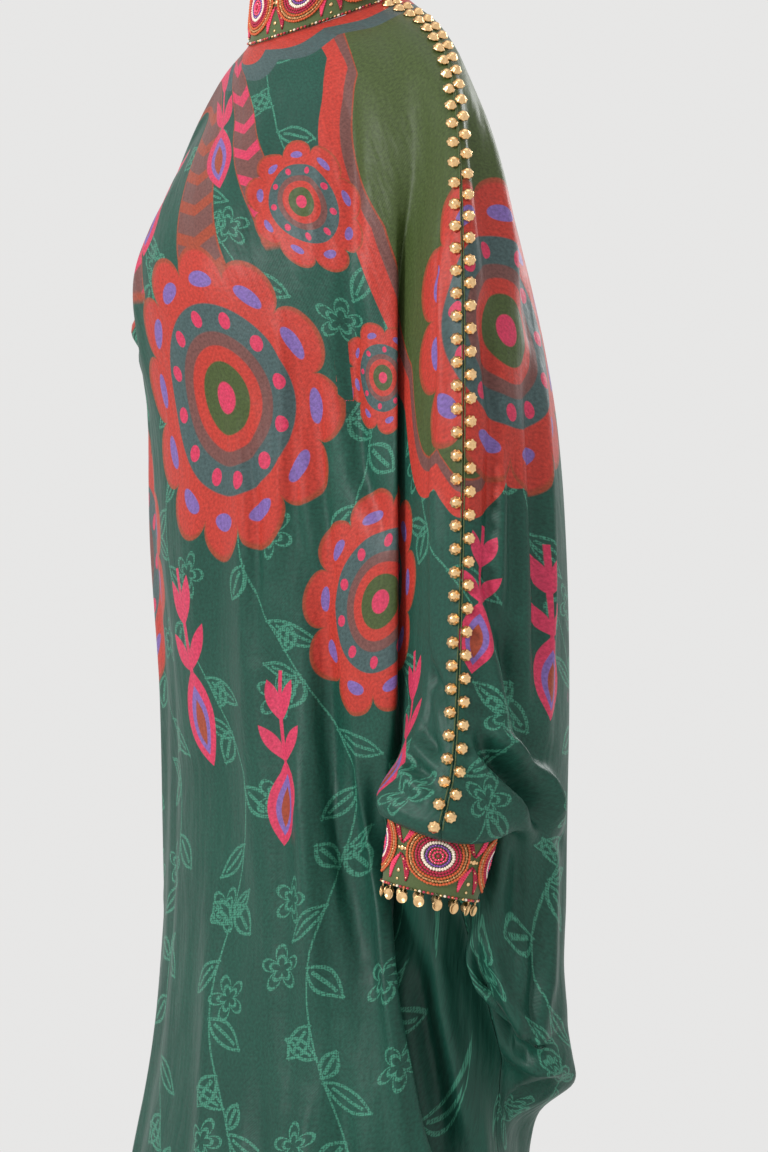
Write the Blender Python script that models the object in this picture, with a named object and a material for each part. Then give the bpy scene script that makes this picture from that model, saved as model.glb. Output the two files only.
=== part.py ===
"""One-shoulder dress with a stand collar, one batwing sleeve and a beaded cuff, in worn form.

Metres, +Z up. The origin is the middle of the collar's base, the wearer's left arm is at +X
and the front faces -Y. The cloth is one tube around the body. Named stations run around it,
named levels run down it, and every panel is a wall cut from that tube.
"""

import math

import bmesh
import bpy
from mathutils import Matrix, Vector

# Cloth and seams
CLOTH = 0.0016
SEAM_GAP = 0.0002
DISPLAY_SMOOTH = math.radians(50)

# Collar: a leaning ring whose base plane is lower in front
COLLAR_RADIUS = 0.063
COLLAR_HEIGHT = 0.058
COLLAR_RISE_AFT = 0.38
COLLAR_LEAN = 0.09
COLLAR_WALL = 0.0022
COLLAR_STEPS = 44
COLLAR_ROWS = 5
COLLAR_GAP = 0.0004
COLLAR_REACH = 1.04
COLLAR_OPENING_ANGLE = 22.0
COLLAR_OPENING_WIDTH = 1.2

# Cuff: an oval tube around the wrist, its axis leaning forward
CUFF_TOP_AFT = 0.0951
CUFF_TOP_OUT = 0.215
CUFF_TOP_Z = -0.6377
CUFF_HEIGHT = 0.060
CUFF_LEAN = math.radians(12)
CUFF_HALF_WIDTH = 0.041
CUFF_HALF_DEPTH = 0.028
CUFF_TAPER = 0.10
CUFF_WALL = 0.0022
CUFF_STEPS = 40
CUFF_ROWS = 6

# Rows that follow the cuff's rim: turn, drop and distance out at the fore, seam and aft stations
RIM_ROWS = {
    "RIM_OUTER": ((80.0, 0.010, 0.0055), (0.0, 0.0, 0.0010), (-78.75, 0.0, 0.0010)),
    "RIM_INNER": ((106.0, 0.017, 0.0035), (180.0, 0.003, 0.0012), (258.75, 0.0, 0.0010)),
    "FALL": ((132.0, 0.030, 0.0100), (180.0, 0.020, 0.0080), (246.0, 0.020, 0.0080)),
}
RIM_STATIONS = ("FORE", "SEAM", "AFT_ARM")
# Where the cloth folds back sharply at the rim's end, the lining's point lies between its two
# sides, at this share of the way in
FOLD_EDGE_SHARE = 0.10

# Raised embroidered rosettes on the collar and the cuff
ROSETTE_RADIUS = 0.0245
ROSETTE_RAISE = 0.0012
ROSETTE_EDGE = 0.25
COLLAR_ROSETTES = 8
CUFF_ROSETTES = 4

# Studs: domes on a tape beside the over-arm seam
STUD_PITCH = 0.0176
STUD_RADIUS = 0.0047
STUD_HEIGHT = 0.0050
STUD_SIDES = 7
STUD_SHOULDER = 0.70
STUD_SKIRT = 0.55
TAPE_HALF_WIDTH = 0.0026
TAPE_THICKNESS = 0.0010
TAPE_LIFT = 0.0003
STUD_OFFSET = 0.0052
STUD_START = 0.012

# The sleeve is laid out in a plan frame along the arm's own plane
AFT = Vector((0.469, 0.883, 0.0))
OUT = Vector((0.883, -0.469, 0.0))

# Levels down the dress: name, height on the body, rows to the next level
LEVELS = (
    ("EDGE", 0.000, 2),
    ("YOKE", -0.030, 2),
    ("SHOULDER", -0.070, 2),
    ("CHEST", -0.130, 2),
    ("BUST", -0.210, 2),
    ("ELBOW", -0.320, 2),
    ("WAIST", -0.430, 2),
    ("FOREARM", -0.540, 2),
    ("BLOUSE", -0.610, 2),
    ("LIP", -0.642, 1),
    ("TUCK", -0.652, 1),
    ("RIM_OUTER", -0.663, 1),
    ("RIM_INNER", -0.675, 1),
    ("FALL", -0.690, 1),
    ("UNDER", -0.715, 2),
    ("BOWL", -0.755, 2),
    ("COWL", -0.790, 1),
    ("COWL_TUCK", -0.802, 2),
    ("SLING", -0.830, 1),
    ("SLING_TUCK", -0.842, 2),
    ("TAIL", -0.864, 1),
    ("TAIL_TUCK", -0.885, 2),
    ("KNEE", -0.940, 4),
    ("SHIN", -1.150, 4),
    ("HEM", -1.450, 0),
)
LEVEL_NAMES = [name for name, _, _ in LEVELS]
LEVEL_HEIGHT = {name: height for name, height, _ in LEVELS}

# Body sections: height, half width, depth in front, depth behind
SECTIONS = (
    (0.000, 0.085, 0.060, 0.060),
    (-0.050, 0.128, 0.077, 0.090),
    (-0.100, 0.150, 0.098, 0.112),
    (-0.150, 0.156, 0.130, 0.122),
    (-0.210, 0.158, 0.156, 0.126),
    (-0.280, 0.160, 0.146, 0.124),
    (-0.360, 0.165, 0.1385, 0.122),
    (-0.450, 0.168, 0.1300, 0.120),
    (-0.550, 0.172, 0.119, 0.122),
    (-0.650, 0.178, 0.117, 0.128),
    (-0.750, 0.187, 0.120, 0.134),
    (-0.850, 0.197, 0.129, 0.140),
    (-0.930, 0.206, 0.144, 0.1445),
    (-1.100, 0.225, 0.168, 0.160),
    (-1.280, 0.243, 0.192, 0.178),
    (-1.450, 0.258, 0.214, 0.194),
)

# Stations under the open shoulder: angle on the body section, height of the neckline there
NECKLINE_STATIONS = (
    ("RIGHT", 180.0, -0.215),
    ("RIGHT_FRONT", 203.0, -0.172),
    ("CHEST_FRONT", 226.0, -0.118),
    ("SHOULDER_BACK", 130.0, -0.075),
    ("RIGHT_BACK", 155.0, -0.160),
)
# Stations under the collar: angle on the body section, angle on the collar
COLLAR_STATIONS = (
    ("NECK_FRONT", 247.0, 224.0),
    ("FRONT", 268.0, 258.0),
    ("LEFT_FRONT", 295.0, 292.0),
    ("SIDE_FRONT", 324.0, 320.0),
    ("SIDE_BACK", 62.0, 94.0),
    ("BACK", 86.0, 112.0),
    ("NECK_BACK", 108.0, 136.0),
)

# Sleeve stations: angle of the top point on the collar, then the angle and the proud or sunk
# offset on the skirt at knee, shin and hem
SKIRT_ANGLES = {
    "PLEAT": (-20.0, -3.0, 0.007, 3.0, 0.012, 8.0, 0.016),
    "VALLEY": (-8.0, 2.0, -0.026, 9.0, -0.020, 14.0, -0.014),
    "FORE": (6.0, 15.0, 0.000, 19.0, 0.006, 23.0, 0.012),
    "SEAM": (22.0, 24.0, 0.000, 26.0, -0.004, 30.0, -0.006),
    "AFT_ARM": (31.0, 29.0, -0.003, 32.0, -0.006, 36.0, -0.010),
    "WING": (42.0, 35.0, -0.003, 39.0, 0.002, 43.0, 0.006),
    "TRAIL": (54.0, 42.0, 0.000, 46.0, 0.006, 50.0, 0.014),
    "TAIL": (68.0, 49.0, 0.003, 53.0, 0.000, 57.0, 0.000),
    "REAR": (80.0, 56.0, 0.000, 59.0, -0.006, 62.0, -0.012),
}

# Paths of the sleeve stations: level, aft, out, height
PATHS = {
    "PLEAT": (
        ("YOKE", 0.024, 0.110, -0.034),
        ("SHOULDER", 0.040, 0.145, -0.075),
        ("CHEST", 0.053, 0.166, -0.135),
        ("BUST", 0.057, 0.178, -0.210),
        ("ELBOW", 0.058, 0.186, -0.320),
        ("WAIST", 0.058, 0.186, -0.430),
        ("FOREARM", 0.0565, 0.182, -0.545),
        ("BLOUSE", 0.0515, 0.170, -0.602),
        ("LIP", 0.0485, 0.163, -0.645),
        ("FALL", 0.0490, 0.164, -0.688),
        ("UNDER", 0.0535, 0.172, -0.716),
        ("BOWL", 0.0565, 0.180, -0.754),
        ("COWL", 0.061, 0.187, -0.790),
        ("TAIL", 0.075, 0.191, -0.864),
        ("TAIL_TUCK", 0.080, 0.192, -0.885),
    ),
    "VALLEY": (
        ("YOKE", 0.043, 0.106, -0.026),
        ("SHOULDER", 0.062, 0.146, -0.066),
        ("CHEST", 0.072, 0.169, -0.126),
        ("BUST", 0.062, 0.169, -0.206),
        ("ELBOW", 0.055, 0.166, -0.320),
        ("FOREARM", 0.0590, 0.163, -0.545),
        ("BLOUSE", 0.0620, 0.155, -0.592),
        ("LIP", 0.063, 0.152, -0.608),
        ("TUCK", 0.063, 0.150, -0.628),
        ("RIM_OUTER", 0.062, 0.149, -0.655),
        ("RIM_INNER", 0.061, 0.149, -0.673),
        ("FALL", 0.059, 0.148, -0.694),
        ("UNDER", 0.055, 0.148, -0.718),
        ("BOWL", 0.052, 0.149, -0.752),
        ("COWL", 0.053, 0.151, -0.790),
        ("TAIL", 0.066, 0.154, -0.864),
        ("TAIL_TUCK", 0.071, 0.155, -0.885),
    ),
    "FORE": (
        ("YOKE", 0.061, 0.098, -0.016),
        ("SHOULDER", 0.080, 0.148, -0.054),
        ("CHEST", 0.093, 0.190, -0.114),
        ("BUST", 0.088, 0.213, -0.195),
        ("ELBOW", 0.083, 0.218, -0.315),
        ("WAIST", 0.081, 0.218, -0.430),
        ("FOREARM", 0.079, 0.219, -0.545),
        ("BLOUSE", 0.061, 0.228, -0.600),
        ("LIP", 0.0430, 0.231, -0.626),
        ("TUCK", 0.0445, 0.2260, -0.636),
        ("UNDER", 0.0710, 0.174, -0.692),
        ("BOWL", 0.0860, 0.162, -0.745),
        ("COWL", 0.1010, 0.159, -0.787),
        ("TAIL", 0.1200, 0.157, -0.862),
        ("TAIL_TUCK", 0.1250, 0.156, -0.886),
    ),
    "SEAM": (
        ("YOKE", 0.077, 0.088, -0.013),
        ("SHOULDER", 0.0955, 0.140, -0.047),
        ("CHEST", 0.104, 0.192, -0.104),
        ("BUST", 0.107, 0.228, -0.187),
        ("ELBOW", 0.108, 0.247, -0.315),
        ("WAIST", 0.107, 0.246, -0.430),
        ("FOREARM", 0.1035, 0.245, -0.545),
        ("BLOUSE", 0.099, 0.254, -0.608),
        ("LIP", 0.0905, 0.262, -0.646),
        ("TUCK", 0.0920, 0.2545, -0.655),
        ("UNDER", 0.1040, 0.162, -0.698),
        ("BOWL", 0.1160, 0.151, -0.745),
        ("COWL", 0.1280, 0.144, -0.785),
        ("SLING", 0.1400, 0.137, -0.834),
        ("TAIL", 0.1380, 0.135, -0.864),
        ("TAIL_TUCK", 0.1360, 0.136, -0.887),
    ),
    "AFT_ARM": (
        ("YOKE", 0.083, 0.080, -0.011),
        ("SHOULDER", 0.1030, 0.127, -0.045),
        ("CHEST", 0.115, 0.180, -0.104),
        ("BUST", 0.123, 0.217, -0.188),
        ("ELBOW", 0.129, 0.234, -0.315),
        ("WAIST", 0.129, 0.237, -0.430),
        ("FOREARM", 0.127, 0.237, -0.545),
        ("BLOUSE", 0.123, 0.244, -0.610),
        ("LIP", 0.121, 0.2505, -0.649),
        ("TUCK", 0.1255, 0.2440, -0.657),
        ("UNDER", 0.1260, 0.184, -0.712),
        ("BOWL", 0.1120, 0.177, -0.750),
        ("COWL", 0.1210, 0.176, -0.779),
        ("COWL_TUCK", 0.1290, 0.163, -0.786),
        ("SLING", 0.1390, 0.151, -0.826),
        ("SLING_TUCK", 0.1450, 0.142, -0.838),
        ("TAIL", 0.1430, 0.135, -0.864),
        ("TAIL_TUCK", 0.1410, 0.133, -0.887),
    ),
    "WING": (
        ("YOKE", 0.088, 0.069, -0.010),
        ("SHOULDER", 0.1070, 0.111, -0.044),
        ("CHEST", 0.122, 0.162, -0.104),
        ("BUST", 0.136, 0.200, -0.190),
        ("ELBOW", 0.147, 0.219, -0.315),
        ("WAIST", 0.150, 0.224, -0.430),
        ("FOREARM", 0.148, 0.225, -0.545),
        ("BLOUSE", 0.146, 0.229, -0.605),
        ("LIP", 0.144, 0.231, -0.640),
        ("TUCK", 0.1480, 0.223, -0.648),
        ("RIM_OUTER", 0.1530, 0.213, -0.651),
        ("RIM_INNER", 0.1560, 0.202, -0.660),
        ("FALL", 0.1570, 0.192, -0.679),
        ("UNDER", 0.1480, 0.184, -0.715),
        ("BOWL", 0.1390, 0.181, -0.757),
        ("COWL", 0.1390, 0.181, -0.796),
        ("COWL_TUCK", 0.1430, 0.168, -0.799),
        ("SLING", 0.1500, 0.159, -0.836),
        ("SLING_TUCK", 0.1520, 0.147, -0.842),
        ("TAIL", 0.1510, 0.130, -0.865),
        ("TAIL_TUCK", 0.1470, 0.124, -0.888),
    ),
    "TRAIL": (
        ("YOKE", 0.090, 0.058, -0.011),
        ("SHOULDER", 0.1085, 0.096, -0.046),
        ("CHEST", 0.129, 0.140, -0.106),
        ("BUST", 0.150, 0.172, -0.195),
        ("ELBOW", 0.167, 0.190, -0.318),
        ("WAIST", 0.172, 0.196, -0.430),
        ("FOREARM", 0.172, 0.197, -0.545),
        ("BLOUSE", 0.171, 0.199, -0.605),
        ("LIP", 0.1690, 0.200, -0.644),
        ("TUCK", 0.1700, 0.194, -0.652),
        ("RIM_OUTER", 0.1705, 0.187, -0.658),
        ("RIM_INNER", 0.1710, 0.181, -0.670),
        ("FALL", 0.1700, 0.178, -0.690),
        ("UNDER", 0.1680, 0.178, -0.720),
        ("BOWL", 0.1660, 0.179, -0.768),
        ("COWL", 0.1660, 0.180, -0.812),
        ("COWL_TUCK", 0.1690, 0.168, -0.814),
        ("SLING", 0.1760, 0.159, -0.845),
        ("SLING_TUCK", 0.1750, 0.146, -0.849),
        ("TAIL", 0.1680, 0.118, -0.869),
        ("TAIL_TUCK", 0.1560, 0.104, -0.888),
    ),
    "TAIL": (
        ("YOKE", 0.090, 0.044, -0.013),
        ("SHOULDER", 0.1080, 0.078, -0.050),
        ("CHEST", 0.132, 0.112, -0.112),
        ("BUST", 0.157, 0.134, -0.205),
        ("ELBOW", 0.181, 0.146, -0.322),
        ("WAIST", 0.190, 0.150, -0.430),
        ("FOREARM", 0.1925, 0.151, -0.545),
        ("UNDER", 0.1900, 0.149, -0.715),
        ("BOWL", 0.1885, 0.148, -0.760),
        ("COWL", 0.1910, 0.147, -0.795),
        ("COWL_TUCK", 0.1915, 0.144, -0.808),
        ("SLING", 0.1960, 0.138, -0.834),
        ("SLING_TUCK", 0.1985, 0.130, -0.846),
        ("TAIL", 0.1960, 0.114, -0.858),
        ("TAIL_TUCK", 0.1720, 0.088, -0.882),
    ),
    "REAR": (
        ("YOKE", 0.088, 0.018, -0.020),
        ("SHOULDER", 0.104, 0.040, -0.062),
        ("CHEST", 0.124, 0.060, -0.122),
        ("BUST", 0.143, 0.074, -0.210),
        ("ELBOW", 0.157, 0.082, -0.325),
        ("FOREARM", 0.164, 0.084, -0.545),
        ("UNDER", 0.164, 0.082, -0.715),
        ("SLING", 0.170, 0.082, -0.828),
        ("TAIL", 0.168, 0.076, -0.861),
        ("TAIL_TUCK", 0.158, 0.064, -0.884),
    ),
}

# Stations around each panel, with the columns to the next station
FRONT_PANEL = (
    ("RIGHT", 2),
    ("RIGHT_FRONT", 2),
    ("CHEST_FRONT", 2),
    ("NECK_FRONT", 2),
    ("FRONT", 3),
    ("LEFT_FRONT", 3),
    ("SIDE_FRONT", 3),
    ("PLEAT", 2),
    ("VALLEY", 3),
    ("FORE", 4),
)
BACK_PANEL = (
    ("SEAM", 4),
    ("AFT_ARM", 2),
    ("WING", 2),
    ("TRAIL", 2),
    ("TAIL", 3),
    ("REAR", 2),
    ("SIDE_BACK", 3),
    ("BACK", 2),
    ("NECK_BACK", 2),
    ("SHOULDER_BACK", 2),
    ("RIGHT_BACK", 2),
)

TUBE = FRONT_PANEL + BACK_PANEL

# Soft folds on the side that the sleeve faces: aft and height at the top and at the foot,
# half width, depth (a trough is negative)
SIDE_FOLDS = (
    (0.022, -0.240, 0.036, -0.400, 0.016, -0.009),
    (-0.010, -0.300, 0.008, -0.470, 0.014, -0.005),
    (0.000, -0.470, 0.010, -0.620, 0.018, -0.007),
    (0.024, -0.550, 0.040, -0.860, 0.016, -0.008),
    (-0.022, -0.560, -0.012, -0.800, 0.020, 0.006),
    (-0.075, -0.430, -0.070, -0.800, 0.022, -0.005),
)
# The same on the hidden side: x and height at the top and at the foot
REAR_FOLDS = (
    (-0.070, -0.200, -0.085, -0.620, 0.022, -0.008),
    (0.020, -0.160, 0.010, -0.700, 0.024, -0.009),
    (0.085, -0.240, 0.060, -0.800, 0.020, -0.008),
    (-0.030, -0.500, -0.040, -0.900, 0.022, 0.006),
)
# Flutes of the skirt: angle, half width in degrees, depth at the hem, height where it starts
FLUTES = (
    (196.0, 17.0, 0.012, -0.70),
    (228.0, 16.0, -0.013, -0.62),
    (256.0, 15.0, 0.012, -0.75),
    (284.0, 15.0, -0.012, -0.80),
    (312.0, 16.0, 0.014, -0.70),
    (340.0, 13.0, -0.010, -0.85),
    (76.0, 14.0, 0.014, -0.90),
    (104.0, 15.0, -0.013, -0.72),
    (132.0, 16.0, 0.014, -0.65),
    (162.0, 16.0, -0.013, -0.80),
)

GREEN = (0.022, 0.110, 0.083)
OLIVE = (0.090, 0.140, 0.040)
BRASS = (0.800, 0.520, 0.220)


def plan(aft, out, height):
    """A point of the sleeve's plan frame."""
    return AFT * aft + OUT * out + Vector((0, 0, height))


def spline(p0, p1, p2, p3, t):
    """Centripetal spline between p1 and p2."""
    k0 = max((p1 - p0).length, 1e-6) ** 0.5
    k1 = max((p2 - p1).length, 1e-6) ** 0.5
    k2 = max((p3 - p2).length, 1e-6) ** 0.5
    m1 = (p2 - p1) + k1 * ((p1 - p0) / k0 - (p2 - p0) / (k0 + k1))
    m2 = (p2 - p1) + k1 * ((p3 - p2) / k2 - (p3 - p1) / (k1 + k2))
    a = 2 * (p1 - p2) + m1 + m2
    b = -3 * (p1 - p2) - 2 * m1 - m2
    return a * t ** 3 + b * t ** 2 + m1 * t + p1


def along(points, steps, start=None, end=None):
    """Points on a smooth line through the given ones, with steps[i] parts after point i."""
    first = start or points[0] * 2 - points[1]
    last = end or points[-1] * 2 - points[-2]
    padded = [first, *points, last]
    line = []
    for i in range(len(points) - 1):
        for k in range(steps[i]):
            line.append(spline(*padded[i:i + 4], k / steps[i]))
    line.append(points[-1].copy())
    return line


def ease(t):
    """Smooth step from 0 to 1."""
    t = min(max(t, 0.0), 1.0)
    return t * t * (3 - 2 * t)


def read_table(table, height):
    """Row of a table at a height, smooth between its rows."""
    rows = [Vector(row[1:4]) for row in table]
    if height >= table[0][0]:
        return rows[0]
    for i in range(len(table) - 1):
        top, foot = table[i][0], table[i + 1][0]
        if height >= foot:
            before = rows[i - 1] if i else rows[i] * 2 - rows[i + 1]
            after = rows[i + 2] if i + 2 < len(rows) else rows[i + 1] * 2 - rows[i]
            t = (top - height) / (top - foot)
            tangent_in = (rows[i + 1] - before) / 2
            tangent_out = (after - rows[i]) / 2
            step = rows[i + 1] - rows[i]
            cubic = tangent_in + tangent_out - step * 2
            square = step * 3 - tangent_in * 2 - tangent_out
            return rows[i] + tangent_in * t + square * t ** 2 + cubic * t ** 3
    return rows[-1]


def on_body(angle, height, proud=0.0):
    """Point of the body section at an angle."""
    width, front, back = read_table(SECTIONS, height)
    turn = math.radians(angle)
    depth = front if math.sin(turn) < 0 else back
    return Vector(((width + proud) * math.cos(turn), (depth + proud) * math.sin(turn), height))


def collar_base(angle, radius=COLLAR_RADIUS):
    """Point of the collar's base ring."""
    turn = math.radians(angle)
    y = radius * math.sin(turn)
    return Vector((radius * math.cos(turn), y, COLLAR_RISE_AFT * y))


def on_collar(point):
    """The point moved onto the collar's base where it lies at the collar, or else as it is."""
    if math.hypot(point.x, point.y) > COLLAR_RADIUS * COLLAR_REACH:
        return point
    return collar_base(math.degrees(math.atan2(point.y, point.x)))


def body_station(angle, edge):
    """Level points of a body station, from the top edge down to the hem."""
    elbow = LEVEL_HEIGHT["ELBOW"]
    points = [edge]
    for name in LEVEL_NAMES[1:]:
        height = LEVEL_HEIGHT[name]
        if height > elbow:
            height = edge.z + (elbow - edge.z) * height / elbow
        points.append(on_body(angle, height))
    return points


def sleeve_station(name):
    """Level points of a sleeve station, from the collar down to the hem."""
    collar, knee, knee_proud, shin, shin_proud, hem, hem_proud = SKIRT_ANGLES[name]
    keys = {"EDGE": collar_base(collar)}
    if name in RIM_STATIONS:
        for level, places in RIM_ROWS.items():
            turn, drop, away = places[RIM_STATIONS.index(name)]
            keys[level] = cuff_point(math.radians(turn), drop, away)
    for level, aft, out, height in PATHS[name]:
        keys[level] = plan(aft, out, height)
    keys["KNEE"] = on_body(knee, LEVEL_HEIGHT["KNEE"], knee_proud)
    keys["SHIN"] = on_body(shin, LEVEL_HEIGHT["SHIN"], shin_proud)
    keys["HEM"] = on_body(hem, LEVEL_HEIGHT["HEM"], hem_proud)
    known = [level for level in LEVEL_NAMES if level in keys]
    points = []
    for level in LEVEL_NAMES:
        if level in keys:
            points.append(keys[level])
            continue
        order = LEVEL_NAMES.index(level)
        above = [k for k in known if LEVEL_NAMES.index(k) < order][-1]
        below = [k for k in known if LEVEL_NAMES.index(k) > order][0]
        span = LEVEL_HEIGHT[above] - LEVEL_HEIGHT[below]
        share = (LEVEL_HEIGHT[above] - LEVEL_HEIGHT[level]) / span
        points.append(keys[above].lerp(keys[below], share))
    return points


def cuff_axis():
    """Top centre, downward axis and forward direction of the cuff."""
    top = plan(CUFF_TOP_AFT, CUFF_TOP_OUT, CUFF_TOP_Z)
    down = (-AFT * math.sin(CUFF_LEAN) - Vector((0, 0, math.cos(CUFF_LEAN)))).normalized()
    fore = (-AFT * math.cos(CUFF_LEAN) + Vector((0, 0, math.sin(CUFF_LEAN)))).normalized()
    return top, down, fore


def cuff_point(turn, drop, proud=0.0):
    """Point of the cuff's outer face: turn 0 is outward, a quarter turn is forward."""
    top, down, fore = cuff_axis()
    shrink = 1 - CUFF_TAPER * drop / CUFF_HEIGHT
    across = fore * math.sin(turn) * (CUFF_HALF_WIDTH * shrink + proud)
    outward = OUT * math.cos(turn) * (CUFF_HALF_DEPTH * shrink + proud)
    return top + down * drop + across + outward


def level_row(name):
    """Row of the grid on which a level lies."""
    return sum(count for _, _, count in LEVELS[:LEVEL_NAMES.index(name)])


def station_column(number):
    """Column of the grid on which a station of the tube lies."""
    return sum(count for _, count in TUBE[:number])


def tube_grid():
    """The dress as one closed tube: rows of points from the right side seam around."""
    steps = [count for _, _, count in LEVELS]
    columns = {}
    for name, angle, height in NECKLINE_STATIONS:
        columns[name] = along(body_station(angle, on_body(angle, height)), steps)
    for name, angle, collar_angle in COLLAR_STATIONS:
        columns[name] = along(body_station(angle, collar_base(collar_angle)), steps)
    for name in PATHS:
        columns[name] = along(sleeve_station(name), steps)
    counts = [count for _, count in TUBE]
    grid = []
    for row in range(sum(steps) + 1):
        points = [columns[name][row] for name, _ in TUBE]
        padded = [points[-1], *points, points[0], points[1]]
        line = []
        for i, count in enumerate(counts):
            line += [spline(*padded[i:i + 4], k / count) for k in range(count)]
        grid.append(line)
    grid[0] = [on_collar(point) for point in grid[0]]
    lay_rim(grid)
    return grid


def lay_rim(grid):
    """Put the rim's rows around the cuff, evenly between the rim's stations."""
    first, seam, last = rim_columns()
    for level, (fore, middle, aft) in RIM_ROWS.items():
        row = grid[level_row(level)]
        for column in range(first, last + 1):
            if column <= seam:
                start, end, share = fore, middle, (column - first) / (seam - first)
            else:
                start, end, share = middle, aft, (column - seam) / (last - seam)
            turn, drop, away = (a + (b - a) * share for a, b in zip(start, end))
            row[column] = cuff_point(math.radians(turn), drop, away)


def rim_columns():
    """First column of the cuff's rim, the seam's column and the rim's last column."""
    seam = len(FRONT_PANEL)
    return station_column(seam - 1), station_column(seam), station_column(seam + 1)


def is_open(row, column):
    """Whether the quad after this row and column is the opening inside the cuff's rim."""
    first, _, last = rim_columns()
    return row == level_row("RIM_OUTER") and first <= column < last


def bump(distance, half_width):
    """Round hump of height 1 at distance 0."""
    t = distance / half_width
    return math.exp(-t * t)


def fold_offset(point, normal):
    """Signed depth of the soft folds at a point of the body."""
    aft, out = point.dot(AFT), point.dot(OUT)
    total = 0.0
    side = ease((normal.dot(OUT) - 0.05) / 0.4) * ease((0.200 - out) / 0.02)
    rear = ease((normal.y - 0.2) / 0.4) * ease((0.150 - point.x) / 0.03)
    for folds, across, weight in ((SIDE_FOLDS, aft, side), (REAR_FOLDS, point.x, rear)):
        for top_a, top_z, foot_a, foot_z, half_width, depth in folds:
            t = (top_z - point.z) / (top_z - foot_z)
            middle = top_a + (foot_a - top_a) * t
            fade = ease((t + 0.15) / 0.35) * ease((1.15 - t) / 0.35)
            total += weight * fade * depth * bump(across - middle, half_width)
    return total


def flute_offset(point):
    """Signed depth of the skirt's flutes at a point."""
    angle = math.degrees(math.atan2(point.y, point.x)) % 360
    total = 0.0
    for middle, half_width, depth, start in FLUTES:
        if point.z > start:
            continue
        growth = (start - point.z) / (start - LEVEL_HEIGHT["HEM"])
        gap = (angle - middle + 180) % 360 - 180
        total += depth * growth ** 1.3 * bump(gap, half_width * 0.6)
    return total


def grid_normals(grid):
    """Outward normals of the tube's points, from the quads around each."""
    rows, columns = len(grid), len(grid[0])
    normals = [[Vector() for _ in range(columns)] for _ in range(rows)]
    for j in range(rows - 1):
        for i in range(columns):
            if is_open(j, i):
                continue
            k = (i + 1) % columns
            a, b, c, d = grid[j][i], grid[j + 1][i], grid[j + 1][k], grid[j][k]
            normal = (c - a).cross(d - b).normalized()
            for row, column in ((j, i), (j + 1, i), (j + 1, k), (j, k)):
                normals[row][column] += normal
    return [[normal.normalized() for normal in line] for line in normals]


def shaped(grid):
    """The grid with its folds and flutes pressed in."""
    normals = grid_normals(grid)
    return [[p + n * (fold_offset(p, n) + flute_offset(p)) for p, n in zip(row, line)]
            for row, line in zip(grid, normals)]


def closed_seams(line):
    """A row whose two ends stand back from the seams by the gap."""
    head = (line[1] - line[0]).normalized() * SEAM_GAP
    tail = (line[-2] - line[-1]).normalized() * SEAM_GAP
    return [line[0] + head, *line[1:-1], line[-1] + tail]


def wall_mesh(name, outer, inner, ring=False, first_column=None):
    """Closed wall between an outer and an inner grid of points."""
    mesh = bmesh.new()
    face, back = [[[mesh.verts.new(p) for p in row] for row in grid] for grid in (outer, inner)]
    rows, columns = len(outer), len(outer[0])
    quads = []
    for j in range(rows - 1):
        for i in range(columns if ring else columns - 1):
            if first_column is not None and is_open(j, first_column + i):
                continue
            k = (i + 1) % columns
            quads.append(((j, i), (j + 1, i), (j + 1, k), (j, k)))
    edges = {(quad[n], quad[(n + 1) % 4]) for quad in quads for n in range(4)}
    for quad in quads:
        mesh.faces.new([face[j][i] for j, i in quad])
        mesh.faces.new([back[j][i] for j, i in reversed(quad)])
    for a, b in sorted(edges):
        if (b, a) not in edges:
            mesh.faces.new((face[b[0]][b[1]], face[a[0]][a[1]], back[a[0]][a[1]], back[b[0]][b[1]]))
    data = bpy.data.meshes.new(name)
    mesh.to_mesh(data)
    mesh.free()
    return data


def add_part(name, data, material, collection):
    """Object of a mesh with its material, in the dress's collection."""
    data.materials.append(material)
    data.shade_smooth()
    data.set_sharp_from_angle(angle=DISPLAY_SMOOTH)
    piece = bpy.data.objects.new(name, data)
    collection.objects.link(piece)
    return piece


def panel(name, grid, normals, first, last):
    """Outer points, normals and wall of one cloth panel between two columns of the tube."""
    columns = len(grid[0])
    chosen = [i % columns for i in range(first, last + 1)]
    outer = [closed_seams([row[i] for i in chosen]) for row in grid]
    facing = [[line[i] for i in chosen] for line in normals]
    inner = [[p - n * CLOTH for p, n in zip(row, line)] for row, line in zip(outer, facing)]
    for point, lining in zip(outer[0], inner[0]):
        lining.z = min(lining.z, point.z)
    foot, rim_end = level_row("RIM_INNER"), rim_columns()[0] - first
    if 0 < rim_end < len(chosen) - 1:
        between = (outer[foot][rim_end - 1] + outer[foot][rim_end + 1]) / 2
        inner[foot][rim_end] = outer[foot][rim_end].lerp(between, FOLD_EDGE_SHARE)
    return wall_mesh(name, outer, inner, first_column=first), outer, facing


def rosette_raise(distance):
    """Height of a raised rosette at a distance from its middle."""
    return ROSETTE_RAISE * ease((ROSETTE_RADIUS - distance) / (ROSETTE_RADIUS * ROSETTE_EDGE))


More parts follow.
